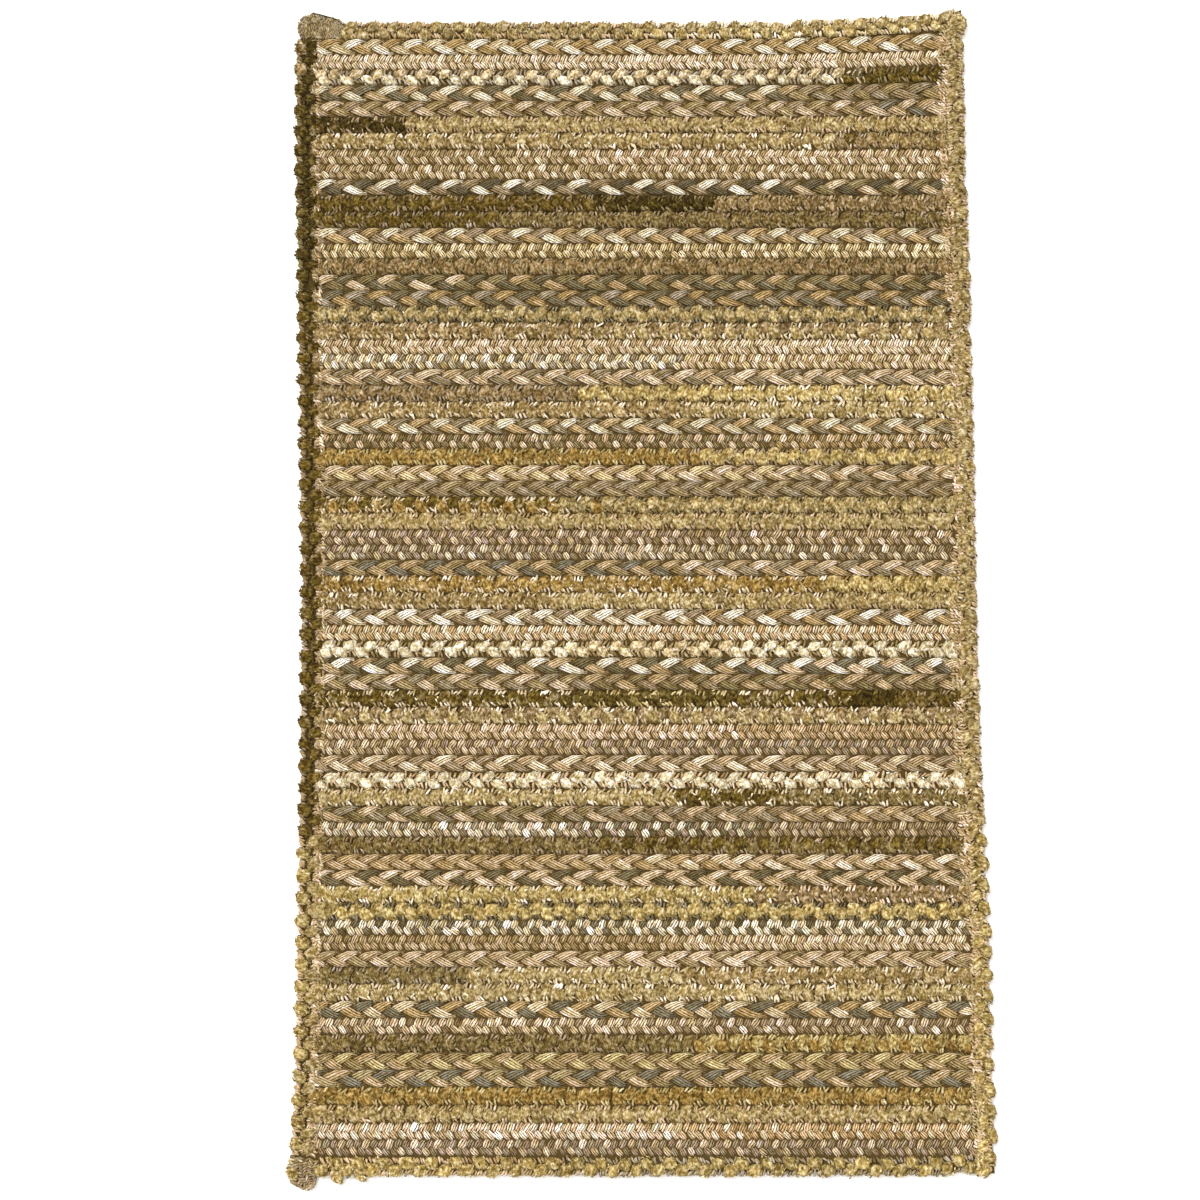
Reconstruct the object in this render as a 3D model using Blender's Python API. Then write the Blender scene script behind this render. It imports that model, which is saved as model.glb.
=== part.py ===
"""A hand-made braided rug: 69 straight braids sewn side by side inside a border braid.

The braids run along X, across the rug's short side, and are counted from the top
edge (+Y) down. The underside lies on z = 0 and the origin is the middle of the
rug's footprint. Three kinds of braid take turns in a repeat of twelve rows.
Neighbouring braids of one kind share one solid, with a seam between their ribs.

Sizes in the tables are millimetres, measured from the rug's own reference point,
and are turned into metres when the meshes are made.
"""

from collections import namedtuple

import bmesh
import bpy
import numpy as np
from mathutils import Matrix, Vector

MM = 0.001

# ---------------------------------------------------------------- driving sizes
FIELD_TOP = 767.1          # where row 1 meets the top border
FIELD_BOTTOM = -717.8      # where the last row meets the bottom border
GAP = 0.3                  # between two solids
HALF_GAP = GAP / 2

# One braid of each kind: its width across the row and its thickness.
Braid = namedtuple("Braid", "label width thickness")
PLAIT = Braid("plait", 21.4, 9.5)
FINE = Braid("fine", 20.5, 8.0)
CHENILLE = Braid("chenille", 22.2, 10.5)

# The repeat of twelve rows, as runs of like braids.
Run = namedtuple("Run", "braid rows")
REPEAT = (
    Run(PLAIT, 1), Run(FINE, 1), Run(CHENILLE, 1), Run(PLAIT, 2),
    Run(CHENILLE, 2), Run(FINE, 2), Run(PLAIT, 1), Run(CHENILLE, 2),
)
ROWS = 69
# How tightly each repeat was sewn, from the top down.
TIGHTNESS = (1.018, 1.006, 0.989, 0.999, 0.971, 1.021)

# The rug's own left and right edges, along its length. It leans a little, and its
# waist is narrower than its ends.
Edge = namedtuple("Edge", "along left right")
EDGES = (
    Edge(806, -466, 441),
    Edge(709, -467, 442),
    Edge(542, -463, 444),
    Edge(377, -458, 446),
    Edge(214, -453, 447),
    Edge(13, -447, 447),
    Edge(-224, -445, 449),
    Edge(-302, -445, 454),
    Edge(-456, -445, 458),
    Edge(-609, -445, 458),
    Edge(-760, -449, 462),
)
TOP_EDGE = 790.6
BOTTOM_EDGE = -743.8

# The first rows and the top border climb towards the top-right corner. Rise is the
# share of the whole climb reached at each place across the rug.
Climb = namedtuple("Climb", "across rise")
CLIMB = (Climb(80, 0.0), Climb(200, 0.12), Climb(320, 0.47), Climb(430, 1.0))
FIELD_CLIMB = 9.0
EDGE_CLIMB = 16.5
CLIMBING_SEAMS = 7         # the climb fades out over this many seams

# The border braid, its width on each side and the lumps along its outer edge.
BORDER_LEFT, BORDER_RIGHT = 31.0, 26.0
BORDER_THICKNESS = 11.0
LUMP_PITCH = 30.0
STEPS_PER_LUMP = 3         # two on the lump's crest and one in the valley
CREST_SHARE, VALLEY_SHARE = 1 / 3, -2 / 3      # of the notch, out of the mean edge
VALLEY_THICKNESS = 0.84    # of the border's thickness, between two lumps
LUMP_FADE = 20.0           # the lumps flatten over this length before an end
TOP_RIGHT_CUT, BOTTOM_RIGHT_CUT = 5.0, 11.0    # cut off the corners' tips
MITRE_PULL = GAP / 2 ** 0.5                    # each side of a 45 degree joint
CORNER_TRIES = 6           # steps towards where two curved edges meet

# How deep the valleys between the lumps are, on each side.
NOTCHES = {"border_left": 7.0, "border_right": 4.5, "border_top": 6.0, "border_bottom": 6.0}

# The gathered end in the top-left corner and the wrapped end with its nub in the
# bottom-left one: outlines that go round once, and where the border begins at the right.
TOP_LEFT_END_RIGHT = -401.0
TOP_LEFT_END_RIM = (
    (TOP_LEFT_END_RIGHT, 792), (-424, 797), (-441, 804), (-456, 801), (-465, 787),
)
TOP_LEFT_END_LEFT = -463.0
BOTTOM_LEFT_END_RIGHT = -410.5
BOTTOM_LEFT_END_RIM = (
    (-451, -729), (-452, -740), (-445, -747), (-431, -748), (-427, -757),
    (-420, -760), (-413, -757), (BOTTOM_LEFT_END_RIGHT, -745),
)
BOTTOM_LEFT_END_LEFT = -447.0
CORNER_THICKNESS = 9.0

# A braid's cross-section, from its middle line. Across is a share of the braid's width
# and up is a share of its thickness. The seams are its two sides.
SEAM_TOP, SEAM_BOTTOM = 0.60, 0.36
RIB_TOP = ((-0.37, 0.87), (-0.14, 1.0), (0.14, 1.0), (0.37, 0.87))
RIB_BOTTOM = ((0.34, 0.0), (-0.34, 0.0))

# The border's cross-section, from its inner edge (0) to its outer edge (1).
BORDER_SECTION = (
    (0.0, 0.36), (0.0, 0.62), (0.22, 0.93), (0.50, 1.0),
    (0.80, 0.90), (1.0, 0.50), (0.86, 0.0), (0.14, 0.0),
)

# A corner end's cross-section: its outline's size and height, from the floor up.
CORNER_SECTION = ((0.88, 0.0), (1.0, 0.36), (1.0, 0.62), (0.90, 0.90), (0.62, 1.0))

# Yarn mixes: the colour that a run of rows has from a few steps away.
YARN_COLOURS = {
    "cream_tan": (0.62, 0.50, 0.32),
    "cream": (0.66, 0.58, 0.42),
    "grey_tan": (0.36, 0.30, 0.20),
    "khaki": (0.40, 0.33, 0.17),
    "mustard_olive": (0.33, 0.24, 0.09),
    "dark_olive": (0.17, 0.13, 0.06),
    "taupe": (0.30, 0.23, 0.15),
    "pink_tan": (0.48, 0.36, 0.25),
}
# One mix for each run of like braids, from the top down.
RUN_YARNS = (
    "cream_tan", "cream_tan", "cream", "grey_tan",
    "khaki", "cream_tan", "grey_tan", "dark_olive",
    "cream_tan", "cream_tan", "taupe", "grey_tan",
    "khaki", "cream_tan", "pink_tan", "khaki",
    "cream_tan", "pink_tan", "mustard_olive", "pink_tan",
    "khaki", "pink_tan", "grey_tan", "mustard_olive",
    "cream_tan", "cream_tan", "cream", "grey_tan",
    "taupe", "pink_tan", "pink_tan", "khaki",
    "taupe", "pink_tan", "dark_olive", "grey_tan",
    "khaki", "cream_tan", "pink_tan", "taupe",
    "grey_tan", "cream_tan", "mustard_olive", "grey_tan",
    "mustard_olive", "pink_tan",
)
BORDER_YARN = "khaki"
CORNER_YARN = "taupe"
YARN_ROUGHNESS = 0.9


# ------------------------------------------------------------------- the outline
def left_edge(along):
    """The rug's left edge at a place along its length."""
    return float(np.interp(-along, [-e.along for e in EDGES], [e.left for e in EDGES]))


def right_edge(along):
    """The rug's right edge at a place along its length."""
    return float(np.interp(-along, [-e.along for e in EDGES], [e.right for e in EDGES]))


def field_left(along):
    """Where the rows end at the left and the border braid begins."""
    return left_edge(along) + BORDER_LEFT


def field_right(along):
    """Where the rows end at the right and the border braid begins."""
    return right_edge(along) - BORDER_RIGHT


def climb(across):
    """The share of the climb towards the top-right corner, from 0 to 1."""
    return float(np.interp(across, [c.across for c in CLIMB], [c.rise for c in CLIMB]))


def top_edge(across):
    """The rug's top edge at a place across its width."""
    return TOP_EDGE + EDGE_CLIMB * climb(across)


# ---------------------------------------------------------------------- meshes
def clear_scene():
    """Removes whatever the scene holds, so that the script can be run again."""
    for old in list(bpy.data.objects):
        bpy.data.objects.remove(old, do_unlink=True)


def yarn_material(yarn):
    """The plain material of one yarn mix, made once."""
    material = bpy.data.materials.get(yarn)
    if material is None:
        material = bpy.data.materials.new(yarn)
        material.use_nodes = True
        shader = material.node_tree.nodes["Principled BSDF"]
        shader.inputs["Base Color"].default_value = (*YARN_COLOURS[yarn], 1.0)
        shader.inputs["Roughness"].default_value = YARN_ROUGHNESS
        shader.inputs["Metallic"].default_value = 0.0
    return material


def lofted(name, sections, yarn):
    """A closed solid that runs through sections of equal point counts, in millimetres."""
    bm = bmesh.new()
    place = bm.verts.layers.int.new("place")
    ring = []
    for index, point in enumerate(sections[0]):
        vertex = bm.verts.new(Vector(point) * MM)
        vertex[place] = index
        ring.append(vertex)
    first_cap = cap = bm.faces.new(ring)
    for section in sections[1:]:
        pulled = bmesh.ops.extrude_face_region(bm, geom=[cap])["geom"]
        if cap is not first_cap:
            bm.faces.remove(cap)
        cap = next(part for part in pulled if isinstance(part, bmesh.types.BMFace))
        for vertex in cap.verts:
            vertex.co = Vector(section[vertex[place]]) * MM
    bm.verts.layers.int.remove(place)
    bmesh.ops.recalc_face_normals(bm, faces=bm.faces)
    mesh = bpy.data.meshes.new(name)
    bm.to_mesh(mesh)
    bm.free()
    mesh.materials.append(yarn_material(yarn))
    piece = bpy.data.objects.new(name, mesh)
    bpy.context.scene.collection.objects.link(piece)
    return piece


# ------------------------------------------------------------- the field braids
def band_section(braid, rows):
    """The cross-section of some like braids: (share from top seam to bottom seam, up)."""
    points = [(0.0, SEAM_BOTTOM), (0.0, SEAM_TOP)]
    for row in range(rows):
        points += [((row + 0.5 + across) / rows, up) for across, up in RIB_TOP]
        points.append(((row + 1) / rows, SEAM_TOP))
    for row in reversed(range(rows)):
        points.append(((row + 1) / rows, SEAM_BOTTOM))
        points += [((row + 0.5 + across) / rows, up) for across, up in RIB_BOTTOM]
    return [(share, up * braid.thickness) for share, up in points]


def seam_climb(seam):
    """How far the seam with this number climbs at the top-right corner."""
    return FIELD_CLIMB * max(0.0, 1.0 - seam / CLIMBING_SEAMS)


def band(name, braid, rows, first_seam, top, bottom, yarn):
    """The solid of some like braids between two seams."""
    inner = [c.across for c in CLIMB[:-1]] if first_seam < CLIMBING_SEAMS else [0.0]
    top_climb, bottom_climb = seam_climb(first_seam), seam_climb(first_seam + rows)
    top, bottom = top - HALF_GAP, bottom + HALF_GAP
    sections = []
    for station in range(len(inner) + 2):
        section = []
        for share, up in band_section(braid, rows):
            level = top + (bottom - top) * share
            rise = top_climb + (bottom_climb - top_climb) * share
            if station == 0:
                across = field_left(level) + HALF_GAP
            elif station <= len(inner):
                across = inner[station - 1]
            else:
                along = level + rise * climb(field_right(level))
                across = field_right(along) - HALF_GAP
            section.append((across, level + rise * climb(across), up))
        sections.append(section)
    return lofted(name, sections, yarn)


def runs():
    """Each run of like braids, from the top down, as (run, first row, last row)."""
    found, row = [], 1
    while row <= ROWS:
        run = REPEAT[len(found) % len(REPEAT)]
        found.append((run, row, row + run.rows - 1))
        row += run.rows
    return found


def row_widths():
    """The width that each row takes up, with the whole field filled exactly."""
    kinds = [run.braid for run in REPEAT for _ in range(run.rows)]
    raw = [
        kinds[row % len(kinds)].width * TIGHTNESS[row // len(kinds)] for row in range(ROWS)
    ]
    scale = (FIELD_TOP - FIELD_BOTTOM) / sum(raw)
    return [width * scale for width in raw]


def field_braids():
    """All the field's bands."""
    seams = FIELD_TOP - np.concatenate([[0.0], np.cumsum(row_widths())])
    bands = []
    for (run, first, last), yarn in zip(runs(), RUN_YARNS):
        rows = f"row_{first:02d}" if first == last else f"rows_{first:02d}_{last:02d}"
        name = f"{rows}_{run.braid.label}"
        top, bottom = float(seams[first - 1]), float(seams[last])
        bands.append(band(name, run.braid, run.rows, first - 1, top, bottom, yarn))
    return bands


# ------------------------------------------------------------ the border braid
# A side of the border: its run of places along the rug's edge, from inner start to
# inner end, and the mitred corners that it ends in, or None.
Side = namedtuple("Side", "name start end first_corner last_corner")

# A mitred corner: its inner and outer points, and how much is cut off its tip.
Corner = namedtuple("Corner", "inner outer cut")


def top_right_corner():
    """Where the top and right sides meet, at the end of the climb."""
    along = FIELD_TOP
    for _ in range(CORNER_TRIES):
        across = field_right(along)
        along = FIELD_TOP + FIELD_CLIMB * climb(across)
    outer_along = top_edge(right_edge(along)) - TOP_RIGHT_CUT
    outer = (right_edge(outer_along) - TOP_RIGHT_CUT, outer_along)
    return Corner((across, along), outer, TOP_RIGHT_CUT)


def bottom_right_corner():
    """Where the right and bottom sides meet."""
    outer_along = BOTTOM_EDGE + BOTTOM_RIGHT_CUT
    outer = (right_edge(outer_along) - BOTTOM_RIGHT_CUT, outer_along)
    return Corner((field_right(FIELD_BOTTOM), FIELD_BOTTOM), outer, BOTTOM_RIGHT_CUT)


def border_sides():
    """The four sides, with the corners that they share."""
    top_right, bottom_right = top_right_corner(), bottom_right_corner()
    left_start, left_end = FIELD_TOP - HALF_GAP, FIELD_BOTTOM + HALF_GAP
    top_start = TOP_LEFT_END_RIGHT + GAP
    bottom_start = BOTTOM_LEFT_END_RIGHT + GAP
    return (
        Side("border_left", left_start, left_end, None, None),
        Side("border_right", None, None, top_right, bottom_right),
        Side("border_top", top_start, None, None, top_right),
        Side("border_bottom", bottom_start, None, None, bottom_right),
    )


def inner_point(name, place):
    """A point of the side's inner edge, which the rows' ends face."""
    if name == "border_left":
        return Vector((field_left(place) - HALF_GAP, place))
    if name == "border_right":
        return Vector((field_right(place) + HALF_GAP, place))
    if name == "border_top":
        return Vector((place, FIELD_TOP + FIELD_CLIMB * climb(place) + HALF_GAP))
    return Vector((place, FIELD_BOTTOM - HALF_GAP))


def outer_point(name, place):
    """A point of the side's outer edge, before its lumps and corner cuts."""
    if name == "border_left":
        return Vector((left_edge(place), place))
    if name == "border_right":
        return Vector((right_edge(place), place))
    if name == "border_top":
        return Vector((place, top_edge(place)))
    return Vector((place, BOTTOM_EDGE))


OUTWARD = {
    "border_left": Vector((-1, 0)), "border_right": Vector((1, 0)),
    "border_top": Vector((0, 1)), "border_bottom": Vector((0, -1)),
}


def side_ends(side):
    """The places where a side's inner and outer edges start and end."""
    axis = 1 if side.name in ("border_left", "border_right") else 0
    ends = []
    for plain, corner in ((side.start, side.first_corner), (side.end, side.last_corner)):
        ends.append((corner.inner[axis], corner.outer[axis]) if corner else (plain, plain))
    (inner_start, outer_start), (inner_end, outer_end) = ends
    pull = MITRE_PULL if inner_end > inner_start else -MITRE_PULL
    if side.first_corner:
        inner_start, outer_start = inner_start + pull, outer_start + pull
    if side.last_corner:
        inner_end, outer_end = inner_end - pull, outer_end - pull
    return inner_start, outer_start, inner_end, outer_end


def border_side(side):
    """One side of the border braid, with a lump at each pitch along its outer edge."""
    inner_start, outer_start, inner_end, outer_end = side_ends(side)
    length = abs(outer_end - outer_start)
    steps = round(length / LUMP_PITCH) * STEPS_PER_LUMP
    first_cut = side.first_corner.cut if side.first_corner else 0.0
    last_cut = side.last_corner.cut if side.last_corner else 0.0
    sections = []
    for step in range(steps + 1):
        share = step / steps
        near = inner_point(side.name, inner_start + (inner_end - inner_start) * share)
        far = outer_point(side.name, outer_start + (outer_end - outer_start) * share)
        from_start, from_end = length * share, length * (1 - share)
        in_valley = step % STEPS_PER_LUMP == 0
        bulge = NOTCHES[side.name] * (VALLEY_SHARE if in_valley else CREST_SHARE)
        bulge *= min(1.0, from_start / LUMP_FADE, from_end / LUMP_FADE)
        cut = max(0.0, first_cut - from_start, last_cut - from_end)
        far += OUTWARD[side.name] * (bulge - cut)
        height = BORDER_THICKNESS * (VALLEY_THICKNESS if in_valley else 1.0)
        sections.append([
            (*near.lerp(far, across), height * up) for across, up in BORDER_SECTION
        ])
    return lofted(side.name, sections, BORDER_YARN)


# --------------------------------------------------------------- corner ends
def corner_end(name, outline):
    """A gathered braid end: its outline with a rounded rim and a low crown."""
    middle = Vector((
        sum(x for x, y in outline) / len(outline), sum(y for x, y in outline) / len(outline)
    ))
    sections = []
    for size, up in CORNER_SECTION:
        ring = [middle + (Vector(point) - middle) * size for point in outline]
        sections.append([(point.x, point.y, up * CORNER_THICKNESS) for point in ring])
    return lofted(name, sections, CORNER_YARN)


def corner_ends():
    """The gathered end at the top left and the wrapped end at the bottom left."""
    inner_top, inner_bottom = FIELD_TOP + HALF_GAP, FIELD_BOTTOM - HALF_GAP
    top_left = (
        (TOP_LEFT_END_LEFT, inner_top), (TOP_LEFT_END_RIGHT, inner_top), *TOP_LEFT_END_RIM,
    )
    bottom_left = (
        (BOTTOM_LEFT_END_LEFT, inner_bottom), *BOTTOM_LEFT_END_RIM,
        (BOTTOM_LEFT_END_RIGHT, inner_bottom),
    )
    return [
        corner_end("corner_end_top_left", top_left),
        corner_end("corner_end_bottom_left", bottom_left),
    ]


# --------------------------------------------------------------------- the rug
def centre_on_origin(pieces):
    """Moves all the meshes so that the footprint's middle is the origin."""
    corners = [vertex.co for piece in pieces for vertex in piece.data.vertices]
    low = [min(corner[axis] for corner in corners) for axis in range(3)]
    high = [max(corner[axis] for corner in corners) for axis in range(3)]
    middle = Vector(((low[0] + high[0]) / 2, (low[1] + high[1]) / 2, low[2]))
    for piece in pieces:
        piece.data.transform(Matrix.Translation(-middle))


def main():
    """Builds the rug."""
    clear_scene()
    sides = [border_side(side) for side in border_sides()]
    centre_on_origin([*field_braids(), *sides, *corner_ends()])


main()
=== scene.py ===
"""Dresses a hand-made braided rug in its yarns.

The rug is sewn from 69 straight braids that run along X, across its short side, and
are counted from the top edge (+Y) down. Three kinds take turns: a flat plait of three
thick strands, a fine braid of small stitches, and a fuzzy chenille braid of lumps with
fine stitches between them. One more chenille braid is sewn round the edge.

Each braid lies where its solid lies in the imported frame. Its strands, loops, lumps and
tufts are copies of small unit forms, moved point by point to their places along the
braid's own track. Sizes are millimetres.
"""

import logging
import math
from dataclasses import dataclass, field
from enum import Enum

import bmesh
import bpy
import numpy as np
from mathutils import Matrix, Vector

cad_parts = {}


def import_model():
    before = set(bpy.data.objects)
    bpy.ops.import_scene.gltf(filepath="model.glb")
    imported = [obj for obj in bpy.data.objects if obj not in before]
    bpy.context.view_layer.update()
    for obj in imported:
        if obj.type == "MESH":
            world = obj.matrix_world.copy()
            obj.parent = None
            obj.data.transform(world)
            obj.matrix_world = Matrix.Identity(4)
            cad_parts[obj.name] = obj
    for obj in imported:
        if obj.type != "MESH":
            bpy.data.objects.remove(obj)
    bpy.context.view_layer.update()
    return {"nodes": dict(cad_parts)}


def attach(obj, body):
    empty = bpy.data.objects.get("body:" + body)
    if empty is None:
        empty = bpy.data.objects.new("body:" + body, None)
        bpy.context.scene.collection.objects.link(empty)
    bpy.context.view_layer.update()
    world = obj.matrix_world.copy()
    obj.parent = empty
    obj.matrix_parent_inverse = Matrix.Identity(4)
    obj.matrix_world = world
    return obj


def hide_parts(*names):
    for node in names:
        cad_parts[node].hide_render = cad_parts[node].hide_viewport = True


LOG = logging.getLogger("braided_rug")
MM = 0.001
Numbers = np.ndarray


# ------------------------------------------------------------------------ yarns
class Yarn(Enum):
    """The rug's yarns, each as the colour of a lit strand in sRGB steps of 1/255."""

    WHITE = (232, 219, 186)
    CREAM = (223, 202, 160)
    YELLOW_CREAM = (224, 201, 150)
    PEACH = (222, 194, 154)
    PINK = (221, 196, 159)
    ROSE_TAN = (203, 178, 136)
    TAN = (192, 164, 118)
    GOLD = (182, 152, 98)
    CARAMEL = (207, 173, 123)
    BROWN = (158, 134, 94)
    OLIVE_TAN = (165, 142, 95)
    OLIVE_BROWN = (137, 119, 74)
    DARK_SLATE = (101, 89, 60)
    SLATE = (122, 109, 76)
    BLUE_GREY = (129, 118, 90)
    GREY_TAUPE = (158, 140, 105)
    MAUVE = (162, 137, 106)
    TAUPE = (156, 133, 94)
    KHAKI = (182, 162, 113)
    STRAW = (197, 175, 116)
    KHAKI_GOLD = (187, 166, 108)
    MUSTARD = (163, 134, 73)
    DARK_OLIVE = (112, 93, 37)
    BARK = (101, 85, 37)
    DEEP_OLIVE = (79, 65, 16)

    @property
    def tint(self) -> Numbers:
        """The yarn's colour as linear light."""
        share = np.array(self.value, float) / 255
        return np.where(share <= 0.04045, share / 12.92, ((share + 0.055) / 1.055) ** 2.4)


Y = Yarn


@dataclass(frozen=True)
class Stretch:
    """The yarns that a row is braided from, up to a place across the rug."""

    until: float
    yarns: tuple[Yarn, ...]


END = 9999.0


def row(*parts: tuple | Yarn) -> tuple[Stretch, ...]:
    """Reads one row of the yarn chart.

    Args:
        parts: Yarns, or (place, yarns) pairs, where a stretch ends at that place.

    Returns:
        The row's stretches from left to right.
    """
    if isinstance(parts[0], Yarn):
        return (Stretch(END, parts),)
    return tuple(Stretch(until, tuple(yarns)) for until, yarns in parts)


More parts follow.
